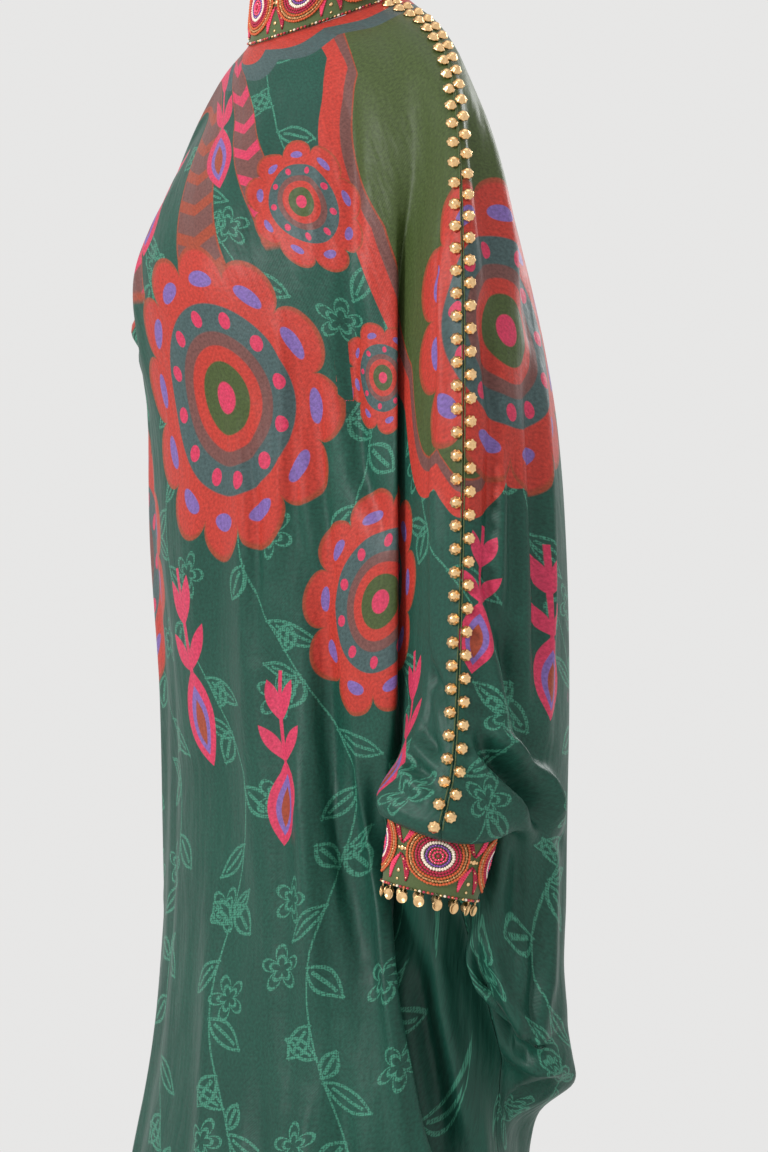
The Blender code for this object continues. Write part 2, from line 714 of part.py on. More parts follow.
def collar():
    """Stand collar, a leaning ring with a narrow opening at the left shoulder."""
    outer, inner = [], []
    turn = 360.0 - COLLAR_OPENING_WIDTH
    spacing = 360.0 / COLLAR_ROSETTES
    for row in range(COLLAR_ROWS + 1):
        rise = COLLAR_HEIGHT * (1 - row / COLLAR_ROWS)
        lean = -COLLAR_LEAN * rise
        line, lining = [], []
        for step in range(COLLAR_STEPS + 1):
            angle = COLLAR_OPENING_ANGLE + COLLAR_OPENING_WIDTH / 2 + turn * step / COLLAR_STEPS
            offset = (angle - COLLAR_OPENING_ANGLE) % spacing - spacing / 2
            along_ring = math.radians(offset) * COLLAR_RADIUS
            raised = rosette_raise(math.hypot(along_ring, rise - COLLAR_HEIGHT / 2))
            base = collar_base(angle) + Vector((0, 0, rise + COLLAR_GAP))
            radial = Vector((math.cos(math.radians(angle)), math.sin(math.radians(angle)), 0))
            line.append(base + radial * (lean + raised))
            lining.append(base + radial * (lean - COLLAR_WALL))
        outer.append(line)
        inner.append(lining)
    return wall_mesh("collar", outer, inner)


def cuff():
    """Oval cuff with raised rosettes."""
    outer, inner = [], []
    quarter = math.tau / CUFF_ROSETTES
    radius = (CUFF_HALF_WIDTH + CUFF_HALF_DEPTH) / 2
    for row in range(CUFF_ROWS + 1):
        drop = CUFF_HEIGHT * row / CUFF_ROWS
        line, lining = [], []
        for step in range(CUFF_STEPS):
            turn = -math.tau * step / CUFF_STEPS
            offset = (turn + quarter / 2) % quarter - quarter / 2
            raised = rosette_raise(math.hypot(offset * radius, drop - CUFF_HEIGHT / 2))
            line.append(cuff_point(turn, drop, raised))
            lining.append(cuff_point(turn, drop, -CUFF_WALL))
        outer.append(line)
        inner.append(lining)
    return wall_mesh("cuff", outer, inner, ring=True)


def resample(points, pitch, start):
    """Places at an even pitch along a line: the point before each and the share to the next."""
    places = []
    lengths = [0.0]
    for a, b in zip(points, points[1:]):
        lengths.append(lengths[-1] + (b - a).length)
    wanted = start
    while wanted < lengths[-1]:
        i = max(n for n, length in enumerate(lengths[:-1]) if length <= wanted)
        places.append((i, (wanted - lengths[i]) / (lengths[i + 1] - lengths[i])))
        wanted += pitch
    return places


def seam_side(outer, normals, at_end, last_row):
    """Points beside the over-arm seam on a panel, with normals and directions to the side."""
    line = []
    for row, facing in zip(outer[:last_row], normals[:last_row]):
        edge, near = (row[-1], row[-2]) if at_end else (row[0], row[1])
        normal = facing[-1] if at_end else facing[0]
        aside = near - edge
        aside = (aside - normal * aside.dot(normal)).normalized()
        line.append((edge + aside * STUD_OFFSET, normal, aside))
    return line


def stud_row(name, line):
    """Tape with its domes, moved out from the panel beside the seam."""
    points, normals, asides = zip(*line)
    rows_top, rows_foot = [], []
    domes = bmesh.new()
    places = resample(points, STUD_PITCH / 2, STUD_START - STUD_PITCH / 2)
    for order, (i, share) in enumerate(places):
        normal = normals[i].lerp(normals[i + 1], share).normalized()
        aside = asides[i].lerp(asides[i + 1], share)
        aside = (aside - normal * aside.dot(normal)).normalized()
        lift = points[i].lerp(points[i + 1], share) + normal * TAPE_LIFT
        down = points[i + 1] - points[i]
        half = down.cross(normal).normalized() * TAPE_HALF_WIDTH
        rows_foot.append([lift + half, lift - half])
        rows_top.append([p + normal * TAPE_THICKNESS for p in rows_foot[-1]])
        if order % 2:
            add_dome(domes, lift + normal * TAPE_THICKNESS / 2, normal, aside)
    tape = bpy.data.objects.new(name, wall_mesh(name, rows_top, rows_foot))
    studs = bpy.data.meshes.new(name + "_domes")
    domes.to_mesh(studs)
    domes.free()
    return union(tape, bpy.data.objects.new(name + "_domes", studs))


def add_dome(mesh, centre, normal, aside):
    """One stud: a round skirt and a shallow cone on top."""
    frame = Matrix((aside, normal.cross(aside), normal)).transposed().to_4x4()
    skirt = STUD_HEIGHT * STUD_SKIRT
    made = bmesh.ops.create_cone(
        mesh, cap_ends=True, segments=STUD_SIDES, radius1=STUD_RADIUS,
        radius2=STUD_RADIUS * STUD_SHOULDER, depth=skirt,
        matrix=Matrix.Translation(centre + normal * skirt / 2) @ frame)
    crown = [v for v in made["verts"] if (v.co - centre).dot(normal) > skirt / 2]
    cap = next(f for f in crown[0].link_faces if all(v in crown for v in f.verts))
    peak = bmesh.ops.poke(mesh, faces=[cap])["verts"][0]
    peak.co = centre + normal * STUD_HEIGHT


def union(base, added):
    """Base with the other object joined to it, as one mesh."""
    scratch = bpy.context.scene.collection
    for piece in (base, added):
        scratch.objects.link(piece)
    join = base.modifiers.new("join", "BOOLEAN")
    join.operation = "UNION"
    join.solver = "EXACT"
    join.object = added
    graph = bpy.context.evaluated_depsgraph_get()
    data = bpy.data.meshes.new_from_object(base.evaluated_get(graph))
    data.name = base.name
    for piece in (base, added):
        bpy.data.objects.remove(piece)
    return data


def material(name, colour, roughness, metallic=0.0):
    """Plain Principled material."""
    made = bpy.data.materials.new(name)
    made.use_nodes = True
    shader = made.node_tree.nodes["Principled BSDF"]
    shader.inputs["Base Color"].default_value = (*colour, 1.0)
    shader.inputs["Roughness"].default_value = roughness
    shader.inputs["Metallic"].default_value = metallic
    made.diffuse_color = (*colour, 1.0)
    return made


def main():
    for old in list(bpy.data.objects):
        bpy.data.objects.remove(old)
    collection = bpy.data.collections.new("one_shoulder_dress")
    bpy.context.scene.collection.children.link(collection)

    grid = shaped(tube_grid())
    normals = grid_normals(grid)
    seam = station_column(len(FRONT_PANEL))
    front, front_outer, front_normals = panel("front", grid, normals, 0, seam)
    back, back_outer, back_normals = panel("back", grid, normals, seam, len(grid[0]))
    stop = level_row("LIP") + 1
    front_line = seam_side(front_outer, front_normals, True, stop)
    back_line = seam_side(back_outer, back_normals, False, stop)

    satin = material("satin", GREEN, 0.42)
    braid = material("braid", OLIVE, 0.75)
    brass = material("brass", BRASS, 0.30, 1.0)
    add_part("front", front, satin, collection)
    add_part("back", back, satin, collection)
    add_part("collar", collar(), braid, collection)
    add_part("cuff", cuff(), braid, collection)
    add_part("studs_front", stud_row("studs_front", front_line), brass, collection)
    add_part("studs_back", stud_row("studs_back", back_line), brass, collection)


main()
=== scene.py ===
"""Looks of a one-shoulder dress in worn form: draped satin, embroidered collar and cuff, studs.

Metres, +Z up. The cloth is rebuilt on the same stations and levels as its solids, finer, with
creases pressed in along given lines. The print is worked out in the cloth's own coordinates:
the level distance around from the over-arm seam and the distance down from the collar's base.
"""

import math

import bmesh
import bpy
import numpy as np
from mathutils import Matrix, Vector


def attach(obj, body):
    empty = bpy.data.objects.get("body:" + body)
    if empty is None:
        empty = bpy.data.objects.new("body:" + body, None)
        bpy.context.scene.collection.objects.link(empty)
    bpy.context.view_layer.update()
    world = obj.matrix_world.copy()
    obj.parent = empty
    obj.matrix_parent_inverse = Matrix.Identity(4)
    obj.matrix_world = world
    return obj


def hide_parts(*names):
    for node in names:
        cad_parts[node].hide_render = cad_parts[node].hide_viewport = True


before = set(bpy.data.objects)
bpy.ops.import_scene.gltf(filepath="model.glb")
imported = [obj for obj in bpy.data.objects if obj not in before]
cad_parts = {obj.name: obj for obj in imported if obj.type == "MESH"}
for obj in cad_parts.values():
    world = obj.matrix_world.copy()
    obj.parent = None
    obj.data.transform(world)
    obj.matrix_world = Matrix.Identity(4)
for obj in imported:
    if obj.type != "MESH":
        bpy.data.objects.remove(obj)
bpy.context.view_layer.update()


# Half of the gap between the two panels at a seam
SEAM_GAP = 0.0002

# Collar: a leaning ring whose base plane is lower in front
COLLAR_RADIUS = 0.063
COLLAR_HEIGHT = 0.058
COLLAR_RISE_AFT = 0.38
COLLAR_LEAN = 0.09
COLLAR_WALL = 0.0022
COLLAR_GAP = 0.0004
COLLAR_REACH = 1.04
COLLAR_OPENING_ANGLE = 22.0

# Cuff: an oval tube around the wrist, its axis leaning forward
CUFF_TOP_AFT = 0.0951
CUFF_TOP_OUT = 0.215
CUFF_TOP_Z = -0.6377
CUFF_HEIGHT = 0.060
CUFF_LEAN = math.radians(12)
CUFF_HALF_WIDTH = 0.041
CUFF_HALF_DEPTH = 0.028
CUFF_TAPER = 0.10
CUFF_WALL = 0.0022

# Rows that follow the cuff's rim: turn, drop and distance out at the fore, seam and aft stations
RIM_ROWS = {
    "RIM_OUTER": ((80.0, 0.010, 0.0055), (0.0, 0.0, 0.0010), (-78.75, 0.0, 0.0010)),
    "RIM_INNER": ((106.0, 0.017, 0.0035), (180.0, 0.003, 0.0012), (258.75, 0.0, 0.0010)),
    "FALL": ((132.0, 0.030, 0.0100), (180.0, 0.020, 0.0080), (246.0, 0.020, 0.0080)),
}
RIM_STATIONS = ("FORE", "SEAM", "AFT_ARM")

# Raised embroidered rosettes on the collar and the cuff
ROSETTE_RADIUS = 0.0245
ROSETTE_RAISE = 0.0012
ROSETTE_EDGE = 0.25
COLLAR_ROSETTES = 8
CUFF_ROSETTES = 4

# Studs: domes beside the over-arm seam, lifted by their tape
STUD_PITCH = 0.0176
STUD_RADIUS = 0.0047
STUD_HEIGHT = 0.0050
TAPE_LIFT = 0.0003
STUD_OFFSET = 0.0052
STUD_START = 0.012

# The sleeve is laid out in a plan frame along the arm's own plane
AFT = Vector((0.469, 0.883, 0.0))
OUT = Vector((0.883, -0.469, 0.0))

# Levels down the dress: name, height on the body, rows to the next level
LEVELS = (
    ("EDGE", 0.000, 2),
    ("YOKE", -0.030, 2),
    ("SHOULDER", -0.070, 2),
    ("CHEST", -0.130, 2),
    ("BUST", -0.210, 2),
    ("ELBOW", -0.320, 2),
    ("WAIST", -0.430, 2),
    ("FOREARM", -0.540, 2),
    ("BLOUSE", -0.610, 2),
    ("LIP", -0.642, 1),
    ("TUCK", -0.652, 1),
    ("RIM_OUTER", -0.663, 1),
    ("RIM_INNER", -0.675, 1),
    ("FALL", -0.690, 1),
    ("UNDER", -0.715, 2),
    ("BOWL", -0.755, 2),
    ("COWL", -0.790, 1),
    ("COWL_TUCK", -0.802, 2),
    ("SLING", -0.830, 1),
    ("SLING_TUCK", -0.842, 2),
    ("TAIL", -0.864, 1),
    ("TAIL_TUCK", -0.885, 2),
    ("KNEE", -0.940, 4),
    ("SHIN", -1.150, 4),
    ("HEM", -1.450, 0),
)
LEVEL_NAMES = [name for name, _, _ in LEVELS]
LEVEL_HEIGHT = {name: height for name, height, _ in LEVELS}

# Body sections: height, half width, depth in front, depth behind
SECTIONS = (
    (0.000, 0.085, 0.060, 0.060),
    (-0.050, 0.128, 0.077, 0.090),
    (-0.100, 0.150, 0.098, 0.112),
    (-0.150, 0.156, 0.130, 0.122),
    (-0.210, 0.158, 0.156, 0.126),
    (-0.280, 0.160, 0.146, 0.124),
    (-0.360, 0.165, 0.1385, 0.122),
    (-0.450, 0.168, 0.1300, 0.120),
    (-0.550, 0.172, 0.119, 0.122),
    (-0.650, 0.178, 0.117, 0.128),
    (-0.750, 0.187, 0.120, 0.134),
    (-0.850, 0.197, 0.129, 0.140),
    (-0.930, 0.206, 0.144, 0.1445),
    (-1.100, 0.225, 0.168, 0.160),
    (-1.280, 0.243, 0.192, 0.178),
    (-1.450, 0.258, 0.214, 0.194),
)

# Stations under the open shoulder: angle on the body section, height of the neckline there
NECKLINE_STATIONS = (
    ("RIGHT", 180.0, -0.215),
    ("RIGHT_FRONT", 203.0, -0.172),
    ("CHEST_FRONT", 226.0, -0.118),
    ("SHOULDER_BACK", 130.0, -0.075),
    ("RIGHT_BACK", 155.0, -0.160),
)
# Stations under the collar: angle on the body section, angle on the collar
COLLAR_STATIONS = (
    ("NECK_FRONT", 247.0, 224.0),
    ("FRONT", 268.0, 258.0),
    ("LEFT_FRONT", 295.0, 292.0),
    ("SIDE_FRONT", 324.0, 320.0),
    ("SIDE_BACK", 62.0, 94.0),
    ("BACK", 86.0, 112.0),
    ("NECK_BACK", 108.0, 136.0),
)

# Sleeve stations: angle of the top point on the collar, then the angle and the proud or sunk
# offset on the skirt at knee, shin and hem
SKIRT_ANGLES = {
    "PLEAT": (-20.0, -3.0, 0.007, 3.0, 0.012, 8.0, 0.016),
    "VALLEY": (-8.0, 2.0, -0.026, 9.0, -0.020, 14.0, -0.014),
    "FORE": (6.0, 15.0, 0.000, 19.0, 0.006, 23.0, 0.012),
    "SEAM": (22.0, 24.0, 0.000, 26.0, -0.004, 30.0, -0.006),
    "AFT_ARM": (31.0, 29.0, -0.003, 32.0, -0.006, 36.0, -0.010),
    "WING": (42.0, 35.0, -0.003, 39.0, 0.002, 43.0, 0.006),
    "TRAIL": (54.0, 42.0, 0.000, 46.0, 0.006, 50.0, 0.014),
    "TAIL": (68.0, 49.0, 0.003, 53.0, 0.000, 57.0, 0.000),
    "REAR": (80.0, 56.0, 0.000, 59.0, -0.006, 62.0, -0.012),
}

# Paths of the sleeve stations: level, aft, out, height
PATHS = {
    "PLEAT": (
        ("YOKE", 0.024, 0.110, -0.034),
        ("SHOULDER", 0.040, 0.145, -0.075),
        ("CHEST", 0.053, 0.166, -0.135),
        ("BUST", 0.057, 0.178, -0.210),
        ("ELBOW", 0.058, 0.186, -0.320),
        ("WAIST", 0.058, 0.186, -0.430),
        ("FOREARM", 0.0565, 0.182, -0.545),
        ("BLOUSE", 0.0515, 0.170, -0.602),
        ("LIP", 0.0485, 0.163, -0.645),
        ("FALL", 0.0490, 0.164, -0.688),
        ("UNDER", 0.0535, 0.172, -0.716),
        ("BOWL", 0.0565, 0.180, -0.754),
        ("COWL", 0.061, 0.187, -0.790),
        ("TAIL", 0.075, 0.191, -0.864),
        ("TAIL_TUCK", 0.080, 0.192, -0.885),
    ),
    "VALLEY": (
        ("YOKE", 0.043, 0.106, -0.026),
        ("SHOULDER", 0.062, 0.146, -0.066),
        ("CHEST", 0.072, 0.169, -0.126),
        ("BUST", 0.062, 0.169, -0.206),
        ("ELBOW", 0.055, 0.166, -0.320),
        ("FOREARM", 0.0590, 0.163, -0.545),
        ("BLOUSE", 0.0620, 0.155, -0.592),
        ("LIP", 0.063, 0.152, -0.608),
        ("TUCK", 0.063, 0.150, -0.628),
        ("RIM_OUTER", 0.062, 0.149, -0.655),
        ("RIM_INNER", 0.061, 0.149, -0.673),
        ("FALL", 0.059, 0.148, -0.694),
        ("UNDER", 0.055, 0.148, -0.718),
        ("BOWL", 0.052, 0.149, -0.752),
        ("COWL", 0.053, 0.151, -0.790),
        ("TAIL", 0.066, 0.154, -0.864),
        ("TAIL_TUCK", 0.071, 0.155, -0.885),
    ),
    "FORE": (
        ("YOKE", 0.061, 0.098, -0.016),
        ("SHOULDER", 0.080, 0.148, -0.054),
        ("CHEST", 0.093, 0.190, -0.114),
        ("BUST", 0.088, 0.213, -0.195),
        ("ELBOW", 0.083, 0.218, -0.315),
        ("WAIST", 0.081, 0.218, -0.430),
        ("FOREARM", 0.079, 0.219, -0.545),
        ("BLOUSE", 0.061, 0.228, -0.600),
        ("LIP", 0.0430, 0.231, -0.626),
        ("TUCK", 0.0445, 0.2260, -0.636),
        ("UNDER", 0.0710, 0.174, -0.692),
        ("BOWL", 0.0860, 0.162, -0.745),
        ("COWL", 0.1010, 0.159, -0.787),
        ("TAIL", 0.1200, 0.157, -0.862),
        ("TAIL_TUCK", 0.1250, 0.156, -0.886),
    ),
    "SEAM": (
        ("YOKE", 0.077, 0.088, -0.013),
        ("SHOULDER", 0.0955, 0.140, -0.047),
        ("CHEST", 0.104, 0.192, -0.104),
        ("BUST", 0.107, 0.228, -0.187),
        ("ELBOW", 0.108, 0.247, -0.315),
        ("WAIST", 0.107, 0.246, -0.430),
        ("FOREARM", 0.1035, 0.245, -0.545),
        ("BLOUSE", 0.099, 0.254, -0.608),
        ("LIP", 0.0905, 0.262, -0.646),
        ("TUCK", 0.0920, 0.2545, -0.655),
        ("UNDER", 0.1040, 0.162, -0.698),
        ("BOWL", 0.1160, 0.151, -0.745),
        ("COWL", 0.1280, 0.144, -0.785),
        ("SLING", 0.1400, 0.137, -0.834),
        ("TAIL", 0.1380, 0.135, -0.864),
        ("TAIL_TUCK", 0.1360, 0.136, -0.887),
    ),
    "AFT_ARM": (
        ("YOKE", 0.083, 0.080, -0.011),
        ("SHOULDER", 0.1030, 0.127, -0.045),
        ("CHEST", 0.115, 0.180, -0.104),
        ("BUST", 0.123, 0.217, -0.188),
        ("ELBOW", 0.129, 0.234, -0.315),
        ("WAIST", 0.129, 0.237, -0.430),
        ("FOREARM", 0.127, 0.237, -0.545),
        ("BLOUSE", 0.123, 0.244, -0.610),
        ("LIP", 0.121, 0.2505, -0.649),
        ("TUCK", 0.1255, 0.2440, -0.657),
        ("UNDER", 0.1260, 0.184, -0.712),
        ("BOWL", 0.1120, 0.177, -0.750),
        ("COWL", 0.1210, 0.176, -0.779),
        ("COWL_TUCK", 0.1290, 0.163, -0.786),
        ("SLING", 0.1390, 0.151, -0.826),
        ("SLING_TUCK", 0.1450, 0.142, -0.838),
        ("TAIL", 0.1430, 0.135, -0.864),
        ("TAIL_TUCK", 0.1410, 0.133, -0.887),
    ),
    "WING": (
        ("YOKE", 0.088, 0.069, -0.010),
        ("SHOULDER", 0.1070, 0.111, -0.044),
        ("CHEST", 0.122, 0.162, -0.104),
        ("BUST", 0.136, 0.200, -0.190),
        ("ELBOW", 0.147, 0.219, -0.315),
        ("WAIST", 0.150, 0.224, -0.430),
        ("FOREARM", 0.148, 0.225, -0.545),
        ("BLOUSE", 0.146, 0.229, -0.605),
        ("LIP", 0.144, 0.231, -0.640),
        ("TUCK", 0.1480, 0.223, -0.648),
        ("RIM_OUTER", 0.1530, 0.213, -0.651),
        ("RIM_INNER", 0.1560, 0.202, -0.660),
        ("FALL", 0.1570, 0.192, -0.679),
        ("UNDER", 0.1480, 0.184, -0.715),
        ("BOWL", 0.1390, 0.181, -0.757),
        ("COWL", 0.1390, 0.181, -0.796),
        ("COWL_TUCK", 0.1430, 0.168, -0.799),
        ("SLING", 0.1500, 0.159, -0.836),
        ("SLING_TUCK", 0.1520, 0.147, -0.842),
        ("TAIL", 0.1510, 0.130, -0.865),
        ("TAIL_TUCK", 0.1470, 0.124, -0.888),
    ),
    "TRAIL": (
        ("YOKE", 0.090, 0.058, -0.011),
        ("SHOULDER", 0.1085, 0.096, -0.046),
        ("CHEST", 0.129, 0.140, -0.106),
        ("BUST", 0.150, 0.172, -0.195),
        ("ELBOW", 0.167, 0.190, -0.318),
        ("WAIST", 0.172, 0.196, -0.430),
        ("FOREARM", 0.172, 0.197, -0.545),
        ("BLOUSE", 0.171, 0.199, -0.605),
        ("LIP", 0.1690, 0.200, -0.644),
        ("TUCK", 0.1700, 0.194, -0.652),
        ("RIM_OUTER", 0.1705, 0.187, -0.658),
        ("RIM_INNER", 0.1710, 0.181, -0.670),
        ("FALL", 0.1700, 0.178, -0.690),
        ("UNDER", 0.1680, 0.178, -0.720),
        ("BOWL", 0.1660, 0.179, -0.768),
        ("COWL", 0.1660, 0.180, -0.812),
        ("COWL_TUCK", 0.1690, 0.168, -0.814),
        ("SLING", 0.1760, 0.159, -0.845),
        ("SLING_TUCK", 0.1750, 0.146, -0.849),
        ("TAIL", 0.1680, 0.118, -0.869),
        ("TAIL_TUCK", 0.1560, 0.104, -0.888),
    ),
    "TAIL": (
        ("YOKE", 0.090, 0.044, -0.013),
        ("SHOULDER", 0.1080, 0.078, -0.050),
        ("CHEST", 0.132, 0.112, -0.112),
        ("BUST", 0.157, 0.134, -0.205),
        ("ELBOW", 0.181, 0.146, -0.322),
        ("WAIST", 0.190, 0.150, -0.430),
        ("FOREARM", 0.1925, 0.151, -0.545),
        ("UNDER", 0.1900, 0.149, -0.715),
        ("BOWL", 0.1885, 0.148, -0.760),
        ("COWL", 0.1910, 0.147, -0.795),
        ("COWL_TUCK", 0.1915, 0.144, -0.808),
        ("SLING", 0.1960, 0.138, -0.834),
        ("SLING_TUCK", 0.1985, 0.130, -0.846),
        ("TAIL", 0.1960, 0.114, -0.858),
        ("TAIL_TUCK", 0.1720, 0.088, -0.882),
    ),
    "REAR": (
        ("YOKE", 0.088, 0.018, -0.020),
        ("SHOULDER", 0.104, 0.040, -0.062),
        ("CHEST", 0.124, 0.060, -0.122),
        ("BUST", 0.143, 0.074, -0.210),
        ("ELBOW", 0.157, 0.082, -0.325),
        ("FOREARM", 0.164, 0.084, -0.545),
        ("UNDER", 0.164, 0.082, -0.715),
        ("SLING", 0.170, 0.082, -0.828),
        ("TAIL", 0.168, 0.076, -0.861),
        ("TAIL_TUCK", 0.158, 0.064, -0.884),
    ),
}

# Stations around each panel, with the columns to the next station
FRONT_PANEL = (
    ("RIGHT", 2),
    ("RIGHT_FRONT", 2),
    ("CHEST_FRONT", 2),
    ("NECK_FRONT", 2),
    ("FRONT", 3),
    ("LEFT_FRONT", 3),
    ("SIDE_FRONT", 3),
    ("PLEAT", 2),
    ("VALLEY", 3),
    ("FORE", 4),
)
BACK_PANEL = (
    ("SEAM", 4),
    ("AFT_ARM", 2),
    ("WING", 2),
    ("TRAIL", 2),
    ("TAIL", 3),
    ("REAR", 2),
    ("SIDE_BACK", 3),
    ("BACK", 2),
    ("NECK_BACK", 2),
    ("SHOULDER_BACK", 2),
    ("RIGHT_BACK", 2),
)

TUBE = FRONT_PANEL + BACK_PANEL

# Soft folds on the side that the sleeve faces: aft and height at the top and at the foot,
# half width, depth (a trough is negative)
SIDE_FOLDS = (
    (0.022, -0.240, 0.036, -0.400, 0.016, -0.009),
    (-0.010, -0.300, 0.008, -0.470, 0.014, -0.005),
    (0.000, -0.470, 0.010, -0.620, 0.018, -0.007),
    (0.024, -0.550, 0.040, -0.860, 0.016, -0.008),
    (-0.022, -0.560, -0.012, -0.800, 0.020, 0.006),
    (-0.075, -0.430, -0.070, -0.800, 0.022, -0.005),
)
# The same on the hidden side: x and height at the top and at the foot
REAR_FOLDS = (
    (-0.070, -0.200, -0.085, -0.620, 0.022, -0.008),
    (0.020, -0.160, 0.010, -0.700, 0.024, -0.009),
    (0.085, -0.240, 0.060, -0.800, 0.020, -0.008),
    (-0.030, -0.500, -0.040, -0.900, 0.022, 0.006),
)
# Flutes of the skirt: angle, half width in degrees, depth at the hem, height where it starts
FLUTES = (
    (196.0, 17.0, 0.012, -0.70),
    (228.0, 16.0, -0.013, -0.62),
    (256.0, 15.0, 0.012, -0.75),
    (284.0, 15.0, -0.012, -0.80),
    (312.0, 16.0, 0.014, -0.70),
    (340.0, 13.0, -0.010, -0.85),
    (76.0, 14.0, 0.014, -0.90),
    (104.0, 15.0, -0.013, -0.72),
    (132.0, 16.0, 0.014, -0.65),
    (162.0, 16.0, -0.013, -0.80),
)
# Where the folds show on the side and the rear: least facing and its span, furthest place across
# and its span
SIDE_REACH = (0.05, 0.4, 0.200, 0.02)
REAR_REACH = (0.2, 0.4, 0.150, 0.03)
# In lengths of a fold: how far it runs past its ends, and over how much it fades there
FOLD_PAST = 0.15
FOLD_FADE = 0.35
# How fast a flute grows down the skirt, and its hump's width in its own half widths
FLUTE_GROWTH = 1.3
FLUTE_WIDTH = 0.6


def plan(aft, out, height):
    """A point of the sleeve's plan frame."""
    return AFT * aft + OUT * out + Vector((0, 0, height))


def spline(p0, p1, p2, p3, t):
    """Centripetal spline between p1 and p2."""
    k0 = max((p1 - p0).length, 1e-6) ** 0.5
    k1 = max((p2 - p1).length, 1e-6) ** 0.5
    k2 = max((p3 - p2).length, 1e-6) ** 0.5
    m1 = (p2 - p1) + k1 * ((p1 - p0) / k0 - (p2 - p0) / (k0 + k1))
    m2 = (p2 - p1) + k1 * ((p3 - p2) / k2 - (p3 - p1) / (k1 + k2))
    a = 2 * (p1 - p2) + m1 + m2
    b = -3 * (p1 - p2) - 2 * m1 - m2
    return a * t ** 3 + b * t ** 2 + m1 * t + p1


def along(points, steps, start=None, end=None):
    """Points on a smooth line through the given ones, with steps[i] parts after point i."""
    first = start or points[0] * 2 - points[1]
    last = end or points[-1] * 2 - points[-2]
    padded = [first, *points, last]
    line = []
    for i in range(len(points) - 1):
        for k in range(steps[i]):
            line.append(spline(*padded[i:i + 4], k / steps[i]))
    line.append(points[-1].copy())
    return line


def ease(t):
    """Smooth step from 0 to 1."""
    t = min(max(t, 0.0), 1.0)
    return t * t * (3 - 2 * t)


def read_table(table, height):
    """Row of a table at a height, smooth between its rows."""
    rows = [Vector(row[1:4]) for row in table]
    if height >= table[0][0]:
        return rows[0]
    for i in range(len(table) - 1):
        top, foot = table[i][0], table[i + 1][0]
        if height >= foot:
            before = rows[i - 1] if i else rows[i] * 2 - rows[i + 1]
            after = rows[i + 2] if i + 2 < len(rows) else rows[i + 1] * 2 - rows[i]
            t = (top - height) / (top - foot)
            tangent_in = (rows[i + 1] - before) / 2
            tangent_out = (after - rows[i]) / 2
            step = rows[i + 1] - rows[i]
            cubic = tangent_in + tangent_out - step * 2
            square = step * 3 - tangent_in * 2 - tangent_out
            return rows[i] + tangent_in * t + square * t ** 2 + cubic * t ** 3
    return rows[-1]


def on_body(angle, height, proud=0.0):
    """Point of the body section at an angle."""
    width, front, back = read_table(SECTIONS, height)
    turn = math.radians(angle)
    depth = front if math.sin(turn) < 0 else back
    return Vector(((width + proud) * math.cos(turn), (depth + proud) * math.sin(turn), height))


def collar_base(angle, radius=COLLAR_RADIUS):
    """Point of the collar's base ring."""
    turn = math.radians(angle)
    y = radius * math.sin(turn)
    return Vector((radius * math.cos(turn), y, COLLAR_RISE_AFT * y))


def on_collar(point):
    """The point moved onto the collar's base where it lies at the collar, or else as it is."""
    if math.hypot(point.x, point.y) > COLLAR_RADIUS * COLLAR_REACH:
        return point
    return collar_base(math.degrees(math.atan2(point.y, point.x)))


def body_station(angle, edge):
    """Level points of a body station, from the top edge down to the hem."""
    elbow = LEVEL_HEIGHT["ELBOW"]
    points = [edge]
    for name in LEVEL_NAMES[1:]:
        height = LEVEL_HEIGHT[name]
        if height > elbow:
            height = edge.z + (elbow - edge.z) * height / elbow
        points.append(on_body(angle, height))
    return points


def sleeve_station(name):
    """Level points of a sleeve station, from the collar down to the hem."""
    collar, knee, knee_proud, shin, shin_proud, hem, hem_proud = SKIRT_ANGLES[name]
    keys = {"EDGE": collar_base(collar)}
    if name in RIM_STATIONS:
        for level, places in RIM_ROWS.items():
            turn, drop, away = places[RIM_STATIONS.index(name)]
            keys[level] = cuff_point(math.radians(turn), drop, away)
    for level, aft, out, height in PATHS[name]:
        keys[level] = plan(aft, out, height)
    keys["KNEE"] = on_body(knee, LEVEL_HEIGHT["KNEE"], knee_proud)
    keys["SHIN"] = on_body(shin, LEVEL_HEIGHT["SHIN"], shin_proud)
    keys["HEM"] = on_body(hem, LEVEL_HEIGHT["HEM"], hem_proud)
    known = [level for level in LEVEL_NAMES if level in keys]
    points = []
    for level in LEVEL_NAMES:
        if level in keys:
            points.append(keys[level])
            continue
        order = LEVEL_NAMES.index(level)
        above = [k for k in known if LEVEL_NAMES.index(k) < order][-1]
        below = [k for k in known if LEVEL_NAMES.index(k) > order][0]
        span = LEVEL_HEIGHT[above] - LEVEL_HEIGHT[below]
        share = (LEVEL_HEIGHT[above] - LEVEL_HEIGHT[level]) / span
        points.append(keys[above].lerp(keys[below], share))
    return points


def cuff_axis():
    """Top centre, downward axis and forward direction of the cuff."""
    top = plan(CUFF_TOP_AFT, CUFF_TOP_OUT, CUFF_TOP_Z)
    down = (-AFT * math.sin(CUFF_LEAN) - Vector((0, 0, math.cos(CUFF_LEAN)))).normalized()
    fore = (-AFT * math.cos(CUFF_LEAN) + Vector((0, 0, math.sin(CUFF_LEAN)))).normalized()
    return top, down, fore


def cuff_point(turn, drop, proud=0.0):
    """Point of the cuff's outer face: turn 0 is outward, a quarter turn is forward."""
    top, down, fore = cuff_axis()
    shrink = 1 - CUFF_TAPER * drop / CUFF_HEIGHT
    across = fore * math.sin(turn) * (CUFF_HALF_WIDTH * shrink + proud)
    outward = OUT * math.cos(turn) * (CUFF_HALF_DEPTH * shrink + proud)
    return top + down * drop + across + outward


